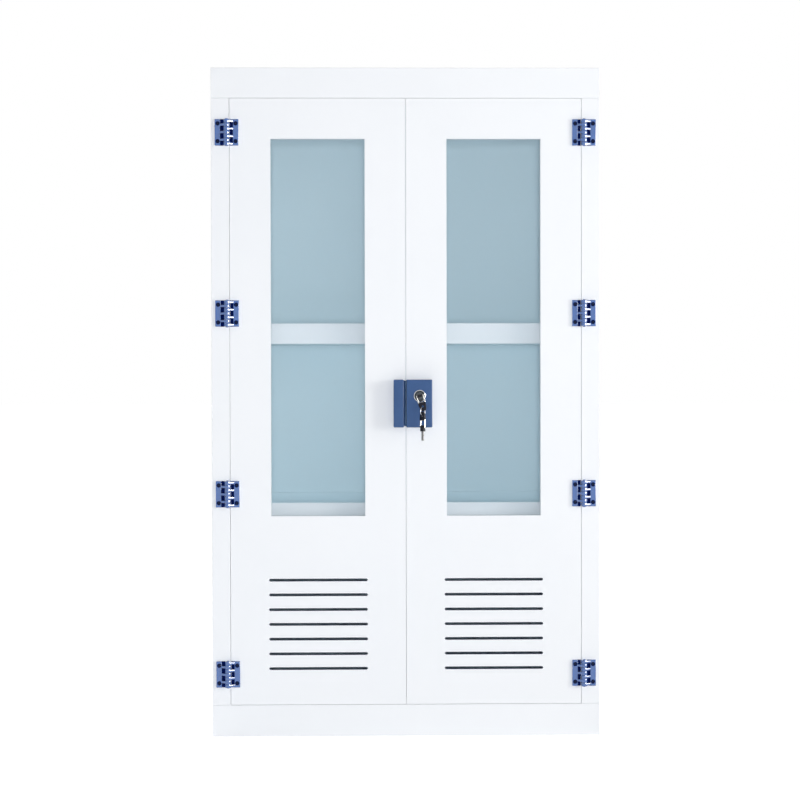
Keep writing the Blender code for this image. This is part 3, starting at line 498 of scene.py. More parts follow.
def moulded_plastic(name, light, dark, painted_shade, flow_mm, grain_mm, roughness, skin=None):
    """A moulded plastic: faint flow marks in its colour and sheen, over a fine spark-eroded grain.
    Its hollows take the third colour, a shade painted in by how closed in they are. The skin is
    what differs from plain polypropylene in the shader's own sockets."""
    material, tree = new_material(name)
    place = add(tree, "TexCoord").outputs["Object"]
    flow = noise(tree, place, flow_mm, detail=3.0, twist=FLOW_TWIST)
    tone = mixed(tree, flow, linear(dark), linear(light))
    reach = {"Distance": HOLLOW_REACH}
    hollow = add(tree, "AmbientOcclusion", reach, samples=HOLLOW_SAMPLES, only_local=True)
    closed, airy = HOLLOW_RANGE
    opening = {"Value": hollow.outputs["AO"], "From Min": closed, "From Max": airy}
    # Painted shade: the hollows darken towards the third colour by how closed in they are.
    tone = mixed(tree, add(tree, "MapRange", opening).outputs[0], linear(painted_shade), tone)
    relief = bump(tree, noise(tree, place, grain_mm, detail=2.0), MOULD_RELIEF)
    others = {**PLASTIC, **(skin or {})}
    show(tree, coat(tree, tone, spread(tree, flow, *roughness), relief, others))
    return material


def solid(name, build):
    """An object with the mesh that the function builds."""
    shape = bmesh.new()
    build(shape)
    bmesh.ops.recalc_face_normals(shape, faces=shape.faces)
    mesh = bpy.data.meshes.new(name)
    shape.to_mesh(mesh)
    shape.free()
    return place_object(name, mesh)


def soften(shape, rounding, steps):
    """Rounds every edge that turns."""
    if rounding:
        turns = [edge for edge in shape.edges if edge.calc_face_angle(0.0) > TURN_LIMIT]
        bmesh.ops.bevel(
            shape, geom=turns, offset=rounding, segments=steps, profile=0.5, affect="EDGES"
        )


def block(name, low, high, rounding=0.0, steps=3):
    """A box between two corners, with rounded edges."""

    def build(shape):
        bmesh.ops.create_cube(shape, size=1.0)
        bmesh.ops.scale(shape, vec=Vector(high) - Vector(low), verts=shape.verts)
        bmesh.ops.translate(shape, vec=(Vector(high) + Vector(low)) / 2, verts=shape.verts)
        soften(shape, rounding, steps)

    return solid(name, build)


def rod_between(name, radius, low, high, sides, rounding=0.0, end_radius=None):
    """A cylinder up the local Z axis between two heights, or a cone with another end radius."""

    def build(shape):
        bmesh.ops.create_cone(
            shape,
            cap_ends=True,
            segments=sides,
            radius1=radius,
            radius2=end_radius or radius,
            depth=high - low,
        )
        bmesh.ops.translate(shape, vec=(0.0, 0.0, (high + low) / 2), verts=shape.verts)
        if rounding:
            rims = [edge for edge in shape.edges if edge.calc_face_angle(0.0) > RIM_LIMIT]
            bmesh.ops.bevel(
                shape, geom=rims, offset=rounding, segments=2, profile=0.5, affect="EDGES"
            )

    return solid(name, build)


def board_cut(name, outline, low, high, rounding=0.0, steps=2):
    """The outline, in the local XY plane, as a board between two heights."""

    def build(shape):
        corners = [shape.verts.new((x, y, low)) for x, y in outline]
        shape.faces.new(corners)
        grown = bmesh.ops.extrude_face_region(shape, geom=shape.faces[:])
        raised = [part for part in grown["geom"] if isinstance(part, bmesh.types.BMVert)]
        bmesh.ops.translate(shape, vec=(0.0, 0.0, high - low), verts=raised)
        soften(shape, rounding, steps)

    return solid(name, build)


def fused(obj, added=(), removed=()):
    """The object with some solids joined on and others cut out, as one clean mesh."""
    for others, operation in ((added, "UNION"), (removed, "DIFFERENCE")):
        for other in others:
            step = obj.modifiers.new(other.name, "BOOLEAN")
            step.operation = operation
            step.object = other
            step.solver = "EXACT"
    graph = bpy.context.evaluated_depsgraph_get()
    mesh = bpy.data.meshes.new_from_object(obj.evaluated_get(graph))
    mesh.name = obj.name
    obj.modifiers.clear()
    obj.data = mesh
    for other in (*added, *removed):
        bpy.data.objects.remove(other)
    return obj


def smooth(mesh):
    """Shades a mesh smooth but for its sharp edges."""
    mesh.shade_smooth()
    mesh.set_sharp_from_angle(angle=SMOOTH_LIMIT)
    return mesh


leaf_low, leaf_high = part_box("frame_leaf_left_1")
pin_low, pin_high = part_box("hinge_pin_left_1")
hinge_half = (leaf_high.z - leaf_low.z) / 2
pin_axis = (pin_low + pin_high) / 2
leaf_reach = pin_axis.x - leaf_low.x
leaf_face = leaf_high.y - pin_axis.y
knuckle_radius = pin_axis.y - leaf_low.y
knuckle_pitch = 2 * hinge_half / KNUCKLES
hinge_blue = moulded_plastic(
    "moulded_blue_polypropylene",
    HINGE_BLUE,
    HINGE_BLUE_SHADE,
    HINGE_PAINTED_SHADE,
    HINGE_FLOW_MM,
    HINGE_GRAIN_MM,
    HINGE_ROUGHNESS,
    POLISHED_SKIN,
)
hinge_pocket_shade = moulded_plastic(
    "unpolished_painted_shade_blue",
    POCKET_PAINTED_SHADE,
    POCKET_PAINTED_SHADE_DARK,
    HINGE_PAINTED_SHADE,
    HINGE_FLOW_MM,
    HINGE_GRAIN_MM,
    POCKET_ROUGHNESS,
    MATT_SKIN,
)


def screw_place(side, end):
    """Where a screw stands in a leaf, with its local Z out of the leaf's face."""
    middle = (side * (leaf_reach - SCREW_INSET), 0.0, end * (hinge_half - SCREW_END))
    return Matrix.Translation(middle) @ Matrix.Rotation(pi / 2, 4, "X")


def leaf_mesh(name, side, knuckles):
    """A leaf to one side of its pin, which stands on the local Z axis. The board is at +Y."""
    front = leaf_face - LEAF_THICKNESS
    near, far = sorted((side * POCKET_REACH, side * leaf_reach))
    plate = block(name, (near, front, -hinge_half), (far, leaf_face, hinge_half), LEAF_ROUND)
    foot = side * (POCKET_REACH + LEAF_OVERLAP)
    near, far = sorted((side * (knuckle_radius + KNUCKLE_GAP), foot))
    low = (near, leaf_face - FLOOR_THICKNESS, -hinge_half)
    added = [block(name + "_floor", low, (far, leaf_face, hinge_half))]
    top_x, top_y = (share * knuckle_radius for share in RIB_TOP_SHARES)
    rib = [
        (0.0, 0.0),
        (side * top_x, top_y),
        (foot, front + LEAF_OVERLAP / 2),
        (foot, leaf_face - LEAF_OVERLAP / 2),
        (side * knuckle_radius / 2, leaf_face - LEAF_OVERLAP / 8),
    ]
    half = (knuckle_pitch - KNUCKLE_GAP) / 2
    for number in knuckles:
        middle = hinge_half - knuckle_pitch * (number - 0.5)
        label = "%s_%d" % (name, number)
        low, high = middle - half, middle + half
        barrel = rod_between(label, knuckle_radius, low, high, KNUCKLE_SIDES, KNUCKLE_ROUND)
        low, high = middle - RIB_HEIGHT / 2, middle + RIB_HEIGHT / 2
        added += [barrel, board_cut(label + "_rib", rib, low, high, RIB_ROUND)]
    bore_end = hinge_half + CUT_THROUGH
    removed = [rod_between(name + "_bore", BORE_RADIUS, -bore_end, bore_end, HOLE_SIDES)]
    back, face, air = -leaf_face - CUT_THROUGH, -front, -front + CUT_THROUGH
    narrow, wide = SCREW_RADIUS, COUNTERSINK_RADIUS
    slope = wide - narrow
    for end in (-1, 1):
        label = "%s_hole_%d" % (name, end)
        shank = rod_between(label, narrow, back, air, HOLE_SIDES)
        mouth = rod_between(
            label + "_mouth", narrow, face - slope, face, COUNTERSINK_SIDES, end_radius=wide
        )
        rim = rod_between(label + "_rim", wide, face, air, COUNTERSINK_SIDES)
        for hole in (shank, mouth, rim):
            hole.matrix_world = screw_place(side, end)
            removed.append(hole)
    leaf = fused(plate, added, removed)
    mesh = smooth(leaf.data)
    mesh.materials.append(hinge_blue)
    mesh.materials.append(hinge_pocket_shade)
    rim_x, rim_y, rim_z = (end - POCKET_RIM for end in (leaf_reach, leaf_face, hinge_half))
    # Faces down in the pockets take the dark blue painted as their shade.
    for face in mesh.polygons:
        x, y, z = face.center
        if abs(x) < rim_x and POCKET_DEPTH < y < rim_y and abs(z) < rim_z:
            face.material_index = 1
    bpy.data.objects.remove(leaf)
    return mesh


leaf_meshes = {
    "left": leaf_mesh("leaf_left", -1, range(2, KNUCKLES + 1, 2)),
    "right": leaf_mesh("leaf_right", 1, range(1, KNUCKLES + 1, 2)),
}
hinge_places = {}
leaf_places = []
for hand, other in (HANDS, HANDS[::-1]):
    for number in range(1, HINGES + 1):
        label = "%s_%d" % (hand, number)
        low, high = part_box("hinge_pin_" + label)
        spot = Matrix.Translation((low + high) / 2)
        hinge_places[label] = spot
        leaf_places.append(("frame", label, hand, "carcass", spot))
        leaf_places.append(("door", label, other, "door_" + hand, spot))
for kind, label, lean, body, spot in leaf_places:
    leaf = place_object("hinge_leaf_%s_%s" % (kind, label), leaf_meshes[lean], spot)
    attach(leaf, body)
    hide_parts("%s_leaf_%s" % (kind, label))

# Hinge pins: drawn rods of the same blue plastic with a domed head above the top knuckle and a
# second one, closed hot, below the last.
PIN_SIDES = 28
DOME_STEPS = 5


def turned(name, profile, sides, closed=False):
    """A profile of (radius, height) points turned about local Z. It runs from the axis to the axis,
    or round in a loop."""

    def build(shape):
        turns = [tau * step / sides for step in range(sides)]
        rings = []
        for radius, height in profile:
            spots = [(radius * cos(a), radius * sin(a), height) for a in turns]
            rings.append([shape.verts.new(spot) for spot in (spots if radius else spots[:1])])
        for upper, lower in zip(rings, rings[1:] + rings[:1] if closed else rings[1:]):
            for step in range(sides):
                quad = (
                    upper[step % len(upper)],
                    upper[(step + 1) % len(upper)],
                    lower[(step + 1) % len(lower)],
                    lower[step % len(lower)],
                )
                shape.faces.new(list(dict.fromkeys(quad)))

    return solid(name, build)


def dome(radius, low, high, steps):
    """The outline of a domed end, from its rim at low to the axis at high."""
    turns = [pi / 2 * step / steps for step in range(steps + 1)]
    outline = [(radius * cos(a), low + (high - low) * sin(a)) for a in turns]
    return outline[:-1] + [(0.0, high)]


pin_half = (pin_high.z - pin_low.z) / 2
pin_head = (pin_high.x - pin_low.x) / 2
shank_radius = BORE_RADIUS - KNUCKLE_GAP
head_foot = hinge_half + KNUCKLE_GAP / 2
upper_half = dome(pin_head, head_foot, pin_half, DOME_STEPS)[::-1] + [(shank_radius, head_foot)]
pin_profile = upper_half + [(radius, -height) for radius, height in reversed(upper_half)]
pin = turned("hinge_pin", pin_profile, PIN_SIDES)
pin_mesh = smooth(pin.data)
pin_mesh.materials.append(hinge_blue)
bpy.data.objects.remove(pin)
for label, spot in hinge_places.items():
    pin = place_object("pin_" + label, pin_mesh, spot)
    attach(pin, "carcass")
    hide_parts("hinge_pin_" + label)

# Hinge screws: blued steel countersunk screws with a cross recess, two in each plate, driven to
# just under the face. Their heads are turned and faintly brushed.
SCREW_STEEL = "#20283C"
SCREW_ROUGHNESS = (0.22, 0.38)
SCREW_SIDES = 28
SCREW_HEAD_RADIUS = 0.0030
SCREW_SINK = 0.0020
SCREW_DEPTH = 0.0012
CROSS_REACH = 0.0019
CROSS_WIDTH = 0.0010
CROSS_DEPTH = 0.0012
CROSS_TURNS = (radians(20), radians(62))
SCREW_BRUSH_MM = 0.25
METAL = {"Metallic": 1.0}
BRUSH_RELIEF = (0.15, 0.00003)


def brushed_metal(name, colour, brush_mm, roughness, stretch=(1.0, 1.0, 1.0)):
    """A bare metal with fine tool marks, stretched along the way that it was worked."""
    material, tree = new_material(name)
    place = add(tree, "TexCoord").outputs["Object"]
    scales = [across(brush_mm) * share for share in stretch]
    marks = drawn_noise(tree, place, scales, detail=2.0)
    relief = bump(tree, marks, BRUSH_RELIEF)
    show(tree, coat(tree, linear(colour), spread(tree, marks, *roughness), relief, METAL))
    return material


screw_steel = brushed_metal("blued_steel", SCREW_STEEL, SCREW_BRUSH_MM, SCREW_ROUGHNESS)


def screw_pair(name, side):
    """The two screws of a plate, in the leaf's own frame."""
    front = leaf_face - LEAF_THICKNESS + SCREW_SINK
    narrow = SCREW_RADIUS - KNUCKLE_GAP
    profile = [
        (0.0, -front),
        (SCREW_HEAD_RADIUS, -front),
        (narrow, -front - SCREW_DEPTH),
        (narrow, -leaf_face + KNUCKLE_GAP),
        (0.0, -leaf_face + KNUCKLE_GAP),
    ]
    heads = []
    for end, turn in zip((-1, 1), CROSS_TURNS):
        label = "%s_%d" % (name, end)
        head = turned(label, profile, SCREW_SIDES)
        bars = []
        for quarter in (0.0, pi / 2):
            bar = block(
                "%s_bar_%d" % (label, round(quarter)),
                (-CROSS_REACH, -CROSS_WIDTH / 2, -front - CROSS_DEPTH),
                (CROSS_REACH, CROSS_WIDTH / 2, -front + CUT_THROUGH),
            )
            bar.matrix_world = Matrix.Rotation(turn + quarter, 4, "Z")
            bars.append(bar)
        bpy.context.view_layer.update()
        head = fused(head, (), bars)
        head.data.transform(screw_place(side, end))
        heads.append(head)
    mesh = bpy.data.meshes.new(name)
    shape = bmesh.new()
    for head in heads:
        shape.from_mesh(head.data)
        bpy.data.objects.remove(head)
    shape.to_mesh(mesh)
    shape.free()
    smooth(mesh).materials.append(screw_steel)
    return mesh


screw_meshes = {"left": screw_pair("screws_left", -1), "right": screw_pair("screws_right", 1)}
for kind, label, lean, body, spot in leaf_places:
    screws = place_object("hinge_screws_%s_%s" % (kind, label), screw_meshes[lean], spot)
    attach(screws, body)

# Lock case and keeper: two moulded boxes of a slightly greyer blue, open towards the doors. Their
# facing walls have windows for the cam, and the case's face has a hole for the cylinder. The
# keeper's wall stands on a thin foot that runs to its door's edge.
LOCK_BLUE = "#405E8C"
LOCK_BLUE_SHADE = "#395581"
# the painted shade that the lock's hollows darken to
LOCK_PAINTED_SHADE = "#0B163A"
LOCK_ROUGHNESS = (0.30, 0.40)
SATIN_SKIN = {"Specular IOR Level": 0.25}
LOCK_FLOW_MM = 28.0
LOCK_GRAIN_MM = 0.6
CASE_WALL = 0.004
CASE_ROUND = 0.0022
CASE_ROUND_STEPS = 4
BARREL_RADIUS = 0.0112
BARREL_CLEARANCE = 0.0003
BARREL_SIDES = 48
CAM_CLEARANCE = 0.0015
WINDOW_RISE = 0.008
FOOT_REACH = 0.0052  # from the keeper's right wall to its foot's edge
FOOT_THICKNESS = 0.002

lock_blue = moulded_plastic(
    "moulded_grey_blue_plastic",
    LOCK_BLUE,
    LOCK_BLUE_SHADE,
    LOCK_PAINTED_SHADE,
    LOCK_FLOW_MM,
    LOCK_GRAIN_MM,
    LOCK_ROUGHNESS,
    SATIN_SKIN,
)
cylinder_low, cylinder_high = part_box("lock_cylinder")
cylinder_middle = (cylinder_low + cylinder_high) / 2
cam_low, cam_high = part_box("lock_cam")
cam_reach = cylinder_middle.z - cam_low.z


def lock_box(name, node, body, cut_side, foot_reach=0.0, extra=()):
    """A moulded box in a node's place, hollow from behind, with the cam's window in one wall. That
    wall may stand on a foot."""
    low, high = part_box(node)
    foot_edge = high.x
    high.x -= foot_reach
    shell = block(name, low, high, CASE_ROUND, CASE_ROUND_STEPS)
    wall = Vector((CASE_WALL, CASE_WALL, CASE_WALL))
    inside_high = high - wall
    inside_high.y = high.y + CUT_THROUGH
    hollow = block(name + "_hollow", low + wall, inside_high)
    outer = low.x if cut_side < 0 else high.x
    inner = outer - cut_side * CASE_WALL
    nearest = cylinder_middle.x - (inner if cut_side < 0 else outer)
    fall = (cam_reach**2 - nearest**2) ** 0.5 + CAM_CLEARANCE
    edges = sorted((inner - cut_side * CUT_THROUGH / 4, outer + cut_side * CUT_THROUGH))
    window = block(
        name + "_window",
        (edges[0], cam_low.y - CAM_CLEARANCE, cylinder_middle.z - fall),
        (edges[1], cam_high.y + CAM_CLEARANCE, cylinder_middle.z + WINDOW_RISE),
    )
    feet = []
    if foot_reach:
        foot_low = (high.x - CASE_WALL / 2, high.y - FOOT_THICKNESS, low.z + CASE_ROUND)
        foot_high = (foot_edge, high.y, high.z - CASE_ROUND)
        feet.append(block(name + "_foot", foot_low, foot_high, FOOT_THICKNESS / 4))
    shell = fused(fused(shell, (), (hollow, window, *extra)), feet)
    smooth(shell.data).materials.append(lock_blue)
    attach(shell, body)
    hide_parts(node)


case_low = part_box("lock_case")[0]
hole_radius = BARREL_RADIUS + BARREL_CLEARANCE
hole_end = CASE_WALL + CUT_THROUGH
hole = rod_between("cylinder_hole", hole_radius, -CUT_THROUGH, hole_end, BARREL_SIDES)
on_face = Matrix.Translation((cylinder_middle.x, case_low.y, cylinder_middle.z))
hole.matrix_world = on_face @ Matrix.Rotation(-pi / 2, 4, "X")
lock_box("lock_case_shell", "lock_case", "door_right", -1, extra=(hole,))
lock_box("keeper_shell", "lock_keeper", "door_left", 1, FOOT_REACH)

# Lock cylinder: die-cast zinc, chrome plated, with a rolled rim, and a dark dish round the plug
# painted as the shade inside the rim. The plug is brass in black nickel, whose dark colour also
# paints that shade, with its keyway cut in the face.
CHROME = "#D9DBDF"
CHROME_ROUGHNESS = (0.06, 0.16)
CHROME_WEAR_MM = 2.0
DISH_PAINTED_SHADE = "#2C3A40"
DISH_PAINTED_SHADE_DARK = "#20292E"
DISH_ROUGHNESS = (0.16, 0.26)
DISH_FLOW_MM = 3.0
DISH_GRAIN_MM = 0.4
DISH_DEPTH = 0.0014
RIM_STEPS = 6
CYLINDER_SIDES = 72
PLUG_NICKEL_AND_SHADE = "#5B5F63"
NICKEL_ROUGHNESS = (0.20, 0.34)
NICKEL_BRUSH_MM = 0.3
NICKEL_STRETCH = (1.0, 1.0, 6.0)
PLUG_RADIUS = 0.008
PLUG_GAP = 0.0003
PLUG_CHAMFER = 0.0004
PLUG_SIDES = 64
SPIGOT_HALF = 0.0035
SPIGOT_SINK = 0.0012  # how far the spigot runs into the plug
KEYWAY_HALF = (0.0038, 0.0013)
KEYWAY_DEPTH = 0.0215
KEY_TILT = radians(15)

chrome_plate, tree = new_material("chrome_plated_zinc")
place = add(tree, "TexCoord").outputs["Object"]
worn = noise(tree, place, CHROME_WEAR_MM, detail=3.0)
show(tree, coat(tree, linear(CHROME), spread(tree, worn, *CHROME_ROUGHNESS), others=METAL))
dish_painted_shade = moulded_plastic(
    "dark_dish_painted_shade",
    DISH_PAINTED_SHADE,
    DISH_PAINTED_SHADE_DARK,
    DISH_PAINTED_SHADE_DARK,
    DISH_FLOW_MM,
    DISH_GRAIN_MM,
    DISH_ROUGHNESS,
)
plug_nickel_and_shade = brushed_metal(
    "black_nickel_and_painted_shade", PLUG_NICKEL_AND_SHADE, NICKEL_BRUSH_MM, NICKEL_ROUGHNESS, NICKEL_STRETCH
)

flange_radius = (cylinder_high.x - cylinder_low.x) / 2
flange_top = cylinder_high.y - cylinder_low.y
bore_radius = PLUG_RADIUS + PLUG_GAP
seat = cylinder_high.y - case_low.y + PLUG_GAP
rim_middle = flange_radius - (flange_top - seat) / 2
rim_radius = flange_radius - rim_middle
dish_edge = rim_middle - rim_radius
dish_floor = flange_top - DISH_DEPTH
cylinder_profile = [(bore_radius, dish_floor), (dish_edge, dish_floor)]
for step in range(RIM_STEPS + 1):
    angle = pi * step / RIM_STEPS
    rim_point = (rim_middle + rim_radius * sin(angle), flange_top - rim_radius * (1 - cos(angle)))
    cylinder_profile.append(rim_point)
cylinder_profile += [(BARREL_RADIUS, seat), (BARREL_RADIUS, 0.0), (bore_radius, 0.0)]
in_lock = Matrix.Translation((cylinder_middle.x, cylinder_high.y, cylinder_middle.z))
out_of_lock = in_lock @ Matrix.Rotation(pi / 2, 4, "X")
cylinder = turned("lock_cylinder_body", cylinder_profile, CYLINDER_SIDES, closed=True)
cylinder.matrix_world = out_of_lock
smooth(cylinder.data).materials.append(chrome_plate)
cylinder.data.materials.append(dish_painted_shade)
# Faces of the dish take the dark colour painted as the shade inside the rim.
for face in cylinder.data.polygons:
    if face.center.z > seat and face.center.to_2d().length < dish_edge:
        face.material_index = 1
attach(cylinder, "door_right")
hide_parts("lock_cylinder")

plug_top = flange_top - PLUG_GAP
plug_low = cylinder_high.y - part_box("lock_plug")[1].y
plug_profile = [
    (0.0, plug_top),
    (PLUG_RADIUS - PLUG_CHAMFER, plug_top),
    (PLUG_RADIUS, plug_top - PLUG_CHAMFER),
    (PLUG_RADIUS, -PLUG_GAP),
    (0.0, -PLUG_GAP),
]
plug = turned("lock_plug_body", plug_profile, PLUG_SIDES)
half = SPIGOT_HALF
spigot = block("spigot", (-half, -half, plug_low), (half, half, SPIGOT_SINK))
half, thin = KEYWAY_HALF
low, high = plug_top - KEYWAY_DEPTH, plug_top + CUT_THROUGH
keyway = block("keyway", (-half, -thin, low), (half, thin, high))
keyway.matrix_world = Matrix.Rotation(KEY_TILT, 4, "Z")
bpy.context.view_layer.update()
plug = fused(plug, (spigot,), (keyway,))
plug.matrix_world = out_of_lock
smooth(plug.data).materials.append(plug_nickel_and_shade)
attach(plug, "lock_core")
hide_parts("lock_plug")

# Cam: a punched strip of zinc-plated steel on the plug's square end. It shows in the case's window
# when the right door is open.
CAM_STEEL = "#9FA1A4"
CAM_BRUSH_MM = 0.8
CAM_ROUGHNESS = (0.30, 0.50)
CAM_STRETCH = (1.0, 1.0, 0.15)
cam_steel = brushed_metal(
    "zinc_plated_steel", CAM_STEEL, CAM_BRUSH_MM, CAM_ROUGHNESS, CAM_STRETCH
)
finish_nodes(cam_steel, ["lock_cam"])

# Folding key and its spare: a nickel silver blade with its cuts, a dark hub, and a plated fork on
# the hub's rivet that carries a black moulded grip with an eye.
KEY_BRUSH_MM = 0.4
KEY_STRETCH = (1.0, 1.0, 0.2)
BLADE_NICKEL = "#8E8D8C"
BLADE_ROUGHNESS = (0.30, 0.44)
BLADE_LENGTH = 0.021
BLADE_HALF = (0.0035, 0.0010)
BLADE_ROUND = 0.0003
CUT_DEPTHS = (0.0012, 0.0020, 0.0008, 0.0016, 0.0011)
CUT_WIDTH = 0.0030
HUB_DARK = "#1A1C26"
# the darker tone of the flow marks, and the painted shade of the hollows
HUB_DARKER_TONE_AND_SHADE = "#12141C"
HUB_ROUGHNESS = (0.28, 0.42)
HUB_FLOW_MM = 4.0
HUB_GRAIN_MM = 0.3
HUB_HALF = (0.0060, 0.0030)
HUB_LENGTH = 0.014
HUB_ROUND = 0.0010
RIVET_FROM_END = 0.004
RIVET_RADIUS = 0.0009
RIVET_ROUND = 0.0002
RIVET_SIDES = 20
FORK_NICKEL = "#C6C5C0"
FORK_ROUGHNESS = (0.16, 0.30)
LEG_THICKNESS = 0.0024
LEG_GAP = 0.0003
LEG_LENGTH = 0.0146
LEG_END = 0.0026
LEG_HALF_DEPTH = 0.0014
LEG_ROUND = 0.0005
LEG_HOLE_RADIUS = 0.0012
GRIP_BLACK = "#0E1020"
# the darker tone of the flow marks, and the painted shade of the hollows
GRIP_BLACKER_TONE_AND_SHADE = "#090A16"
GRIP_ROUGHNESS = (0.22, 0.36)
GRIP_FLOW_MM = 5.0
GRIP_GRAIN_MM = 0.4
GRIP_HALF_DEPTH = 0.0020
GRIP_HALF_WIDTH = 0.009
GRIP_HEIGHT = 0.021
GRIP_FOOT_SHARE = 0.78
GRIP_CORNER_SHARE = 0.20
GRIP_ROUND = 0.0008
EYE_RADIUS = 0.0027
EYE_SIDES = 32

blade_nickel = brushed_metal(
    "nickel_silver_blank", BLADE_NICKEL, KEY_BRUSH_MM, BLADE_ROUGHNESS, KEY_STRETCH
)
fork_nickel = brushed_metal(
    "nickel_plated_steel", FORK_NICKEL, KEY_BRUSH_MM, FORK_ROUGHNESS, KEY_STRETCH
)
hub_black = moulded_plastic(
    "black_oxide_steel",
    HUB_DARK,
    HUB_DARKER_TONE_AND_SHADE,
    HUB_DARKER_TONE_AND_SHADE,
    HUB_FLOW_MM,
    HUB_GRAIN_MM,
    HUB_ROUGHNESS,
    SATIN_SKIN,
)
grip_black = moulded_plastic(
    "moulded_black_plastic",
    GRIP_BLACK,
    GRIP_BLACKER_TONE_AND_SHADE,
    GRIP_BLACKER_TONE_AND_SHADE,
    GRIP_FLOW_MM,
    GRIP_GRAIN_MM,
    GRIP_ROUGHNESS,
    SATIN_SKIN,
)


def key_blade(name):
    """The blade below its hub. Local Z is the way out of the lock, with the rivet at zero."""
    root = RIVET_FROM_END - HUB_LENGTH
    half, thin = BLADE_HALF
    low, high = (-half, -thin, root - BLADE_LENGTH), (half, thin, root + LEG_GAP)
    blade = block(name, low, high, BLADE_ROUND, steps=2)
    notches = []
    for place, depth in enumerate(CUT_DEPTHS):
        height = root - CUT_WIDTH * (place + 1)
        edge = [
            (half + depth, height - CUT_WIDTH / 2 - depth),
            (half + depth, height + CUT_WIDTH / 2 + depth),
            (half - depth, height + CUT_WIDTH / 8),
            (half - depth, height - CUT_WIDTH / 8),
        ]
        notch = board_cut("%s_cut_%d" % (name, place), edge, -CUT_THROUGH, CUT_THROUGH)
        notch.matrix_world = Matrix.Rotation(pi / 2, 4, "X")
        notches.append(notch)
    bpy.context.view_layer.update()
    blade = fused(blade, (), notches)
    smooth(blade.data).materials.append(blade_nickel)
    return blade


def key_hub(name):
    """The hub that the blade is set in, up to its end past the rivet."""
    low = RIVET_FROM_END - HUB_LENGTH
    half, painted_shade = HUB_HALF
    hub = block(name, (-half, -painted_shade, low), (half, painted_shade, RIVET_FROM_END), HUB_ROUND, steps=4)
    smooth(hub.data).materials.append(hub_black)
    return hub


def key_rivet(name):
    """The rivet that the fork turns on, through the hub along local X."""
    reach = HUB_HALF[0] + LEG_THICKNESS + 2 * LEG_GAP
    rivet = rod_between(name, RIVET_RADIUS, -reach, reach, RIVET_SIDES, RIVET_ROUND)
    rivet.data.transform(Matrix.Rotation(pi / 2, 4, "Y"))
    smooth(rivet.data).materials.append(fork_nickel)
    return rivet


def key_fork(name):
    """Two flat legs from the rivet into the grip. Local Y points from the grip to the rivet."""
    inner = HUB_HALF[0] + LEG_GAP
    outer = inner + LEG_THICKNESS
    painted_shade = LEG_HALF_DEPTH
    sunk = -LEG_LENGTH - GRIP_HEIGHT / 6
    legs = []
    for side, label in ((-1, "a"), (1, "b")):
        edges = sorted((side * inner, side * outer))
        leg = block(name + label, (edges[0], sunk, -painted_shade), (edges[1], LEG_END, painted_shade), LEG_ROUND)
        hole = rod_between(label + "_hole", LEG_HOLE_RADIUS, -2 * outer, 2 * outer, RIVET_SIDES)
        hole.matrix_world = Matrix.Rotation(pi / 2, 4, "Y")
        bpy.context.view_layer.update()
        legs.append(fused(leg, (), (hole,)))
    bridge = block(name + "_bridge", (-inner, sunk, -painted_shade), (inner, -LEG_LENGTH, painted_shade))
    fork = fused(legs[0], (bridge, legs[1]), ())
    smooth(fork.data).materials.append(fork_nickel)
    return fork


def key_grip(name):
    """The grip: a tapered moulding with clipped corners, soft edges and an eye."""
    half = GRIP_HALF_WIDTH
    foot = half * GRIP_FOOT_SHARE
    corner = GRIP_HEIGHT * GRIP_CORNER_SHARE
    top = -LEG_LENGTH
    low = top - GRIP_HEIGHT
    right = [
        (foot - corner, low),
        (foot - corner / 4, low + corner / 3),
        (foot, low + corner),
        (half, top - corner),
        (half - corner / 6, top - corner / 3),
        (half - corner / 3, top - LEG_GAP),
    ]
    outline = right + [(-x, y) for x, y in reversed(right)]
    grip = board_cut(name, outline, -GRIP_HALF_DEPTH, GRIP_HALF_DEPTH, GRIP_ROUND, steps=3)
    eye = rod_between(name + "_eye", EYE_RADIUS, -CUT_THROUGH, CUT_THROUGH, EYE_SIDES)
    eye.matrix_world = Matrix.Translation((0.0, top - GRIP_HEIGHT / 2, 0.0))
    bpy.context.view_layer.update()
    grip = fused(grip, (), (eye,))
    smooth(grip.data).materials.append(grip_black)
    return grip


def set_pieces(pieces, matrix, body, node=None):
    """Puts pieces of a key where the matrix says, on their body."""
    for piece in pieces:
        piece.matrix_world = matrix
        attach(piece, body)
    if node:
        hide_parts(node)


rivet_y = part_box("key_shank")[0].y + RIVET_FROM_END
rivet_middle = Vector((cylinder_middle.x, rivet_y, cylinder_middle.z))
tilt = Matrix.Rotation(KEY_TILT, 4, "Z")
key_place = Matrix.Translation(rivet_middle) @ Matrix.Rotation(pi / 2, 4, "X") @ tilt
set_pieces([key_hub("key_hub")], key_place, "key", "key_shank")
set_pieces([key_blade("key_blade"), key_rivet("key_rivet")], key_place, "key")
set_pieces([key_grip("key_grip")], key_place, "folding_bow", "key_bow")
set_pieces([key_fork("key_fork")], key_place, "folding_bow")

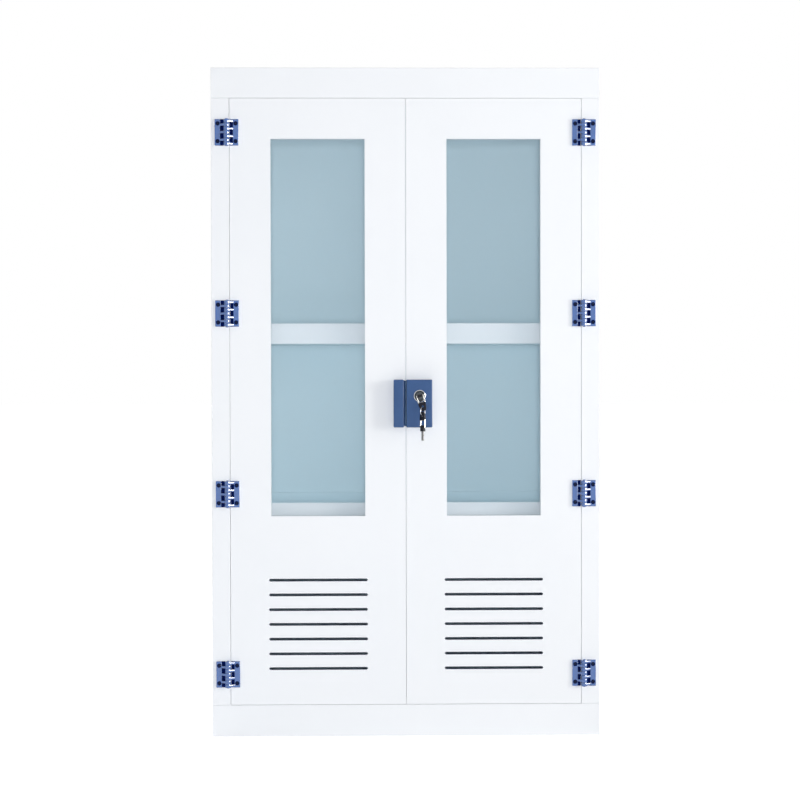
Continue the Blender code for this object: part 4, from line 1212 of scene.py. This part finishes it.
SPARE_TURN = radians(50)
spare_grip_low, spare_grip_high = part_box("spare_key_bow")
spare_middle = (spare_grip_low + spare_grip_high) / 2
spare_middle.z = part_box("spare_key_shank")[1].z - RIVET_FROM_END
spare_place = Matrix.Translation(spare_middle) @ Matrix.Rotation(-SPARE_TURN, 4, "Z")
upright = Matrix.Rotation(pi / 2, 4, "X") @ Matrix.Rotation(pi, 4, "Z")
set_pieces([key_hub("spare_hub")], spare_place, "spare_key", "spare_key_shank")
set_pieces([key_blade("spare_blade"), key_rivet("spare_rivet")], spare_place, "spare_key")
spare_bow = spare_place @ upright
set_pieces([key_grip("spare_grip")], spare_bow, "spare_key", "spare_key_bow")
set_pieces([key_fork("spare_fork")], spare_bow, "spare_key")

# Split ring: two close turns of round spring steel wire, nickel plated, with their ends cut square.
# It hangs in the grip's eye and carries the spare key.
RING_STEEL = "#D2D3D6"
RING_ROUGHNESS = (0.10, 0.20)
RING_BRUSH_MM = 0.3
RING_TURN = radians(35)
RING_TURNS = 1.96
RING_STEPS = 96
RING_SLACK = 0.0001  # keeps the coil inside the solid ring, whose rim has facets
COIL_REACH = 0.001  # along the ring's axis, from one end of the wire to the other
WIRE_SHARE = 0.96  # of that reach: the wire's thickness
WIRE_ROUNDING = 3
ring_steel = brushed_metal(
    "nickel_plated_spring_steel", RING_STEEL, RING_BRUSH_MM, RING_ROUGHNESS
)
ring_low, ring_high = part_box("key_ring")
ring_radius = (ring_high.z - ring_low.z) / 2 - COIL_REACH - RING_SLACK
coil = []
for step in range(RING_STEPS + 1):
    share = step / RING_STEPS
    angle = tau * RING_TURNS * share
    rise = COIL_REACH * (share - 0.5)
    coil.append(((ring_radius * cos(angle), ring_radius * sin(angle), rise), 1.0))
wire_radius = COIL_REACH / 2 * WIRE_SHARE
ring = wire("split_ring_coil", wire_radius, WIRE_ROUNDING, coil, ring_steel)
facing = Matrix.Rotation(-RING_TURN, 4, "Z") @ Matrix.Rotation(pi / 2, 4, "Y")
ring.matrix_world = Matrix.Translation((ring_low + ring_high) / 2) @ facing
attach(ring, "split_ring")
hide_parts("key_ring")
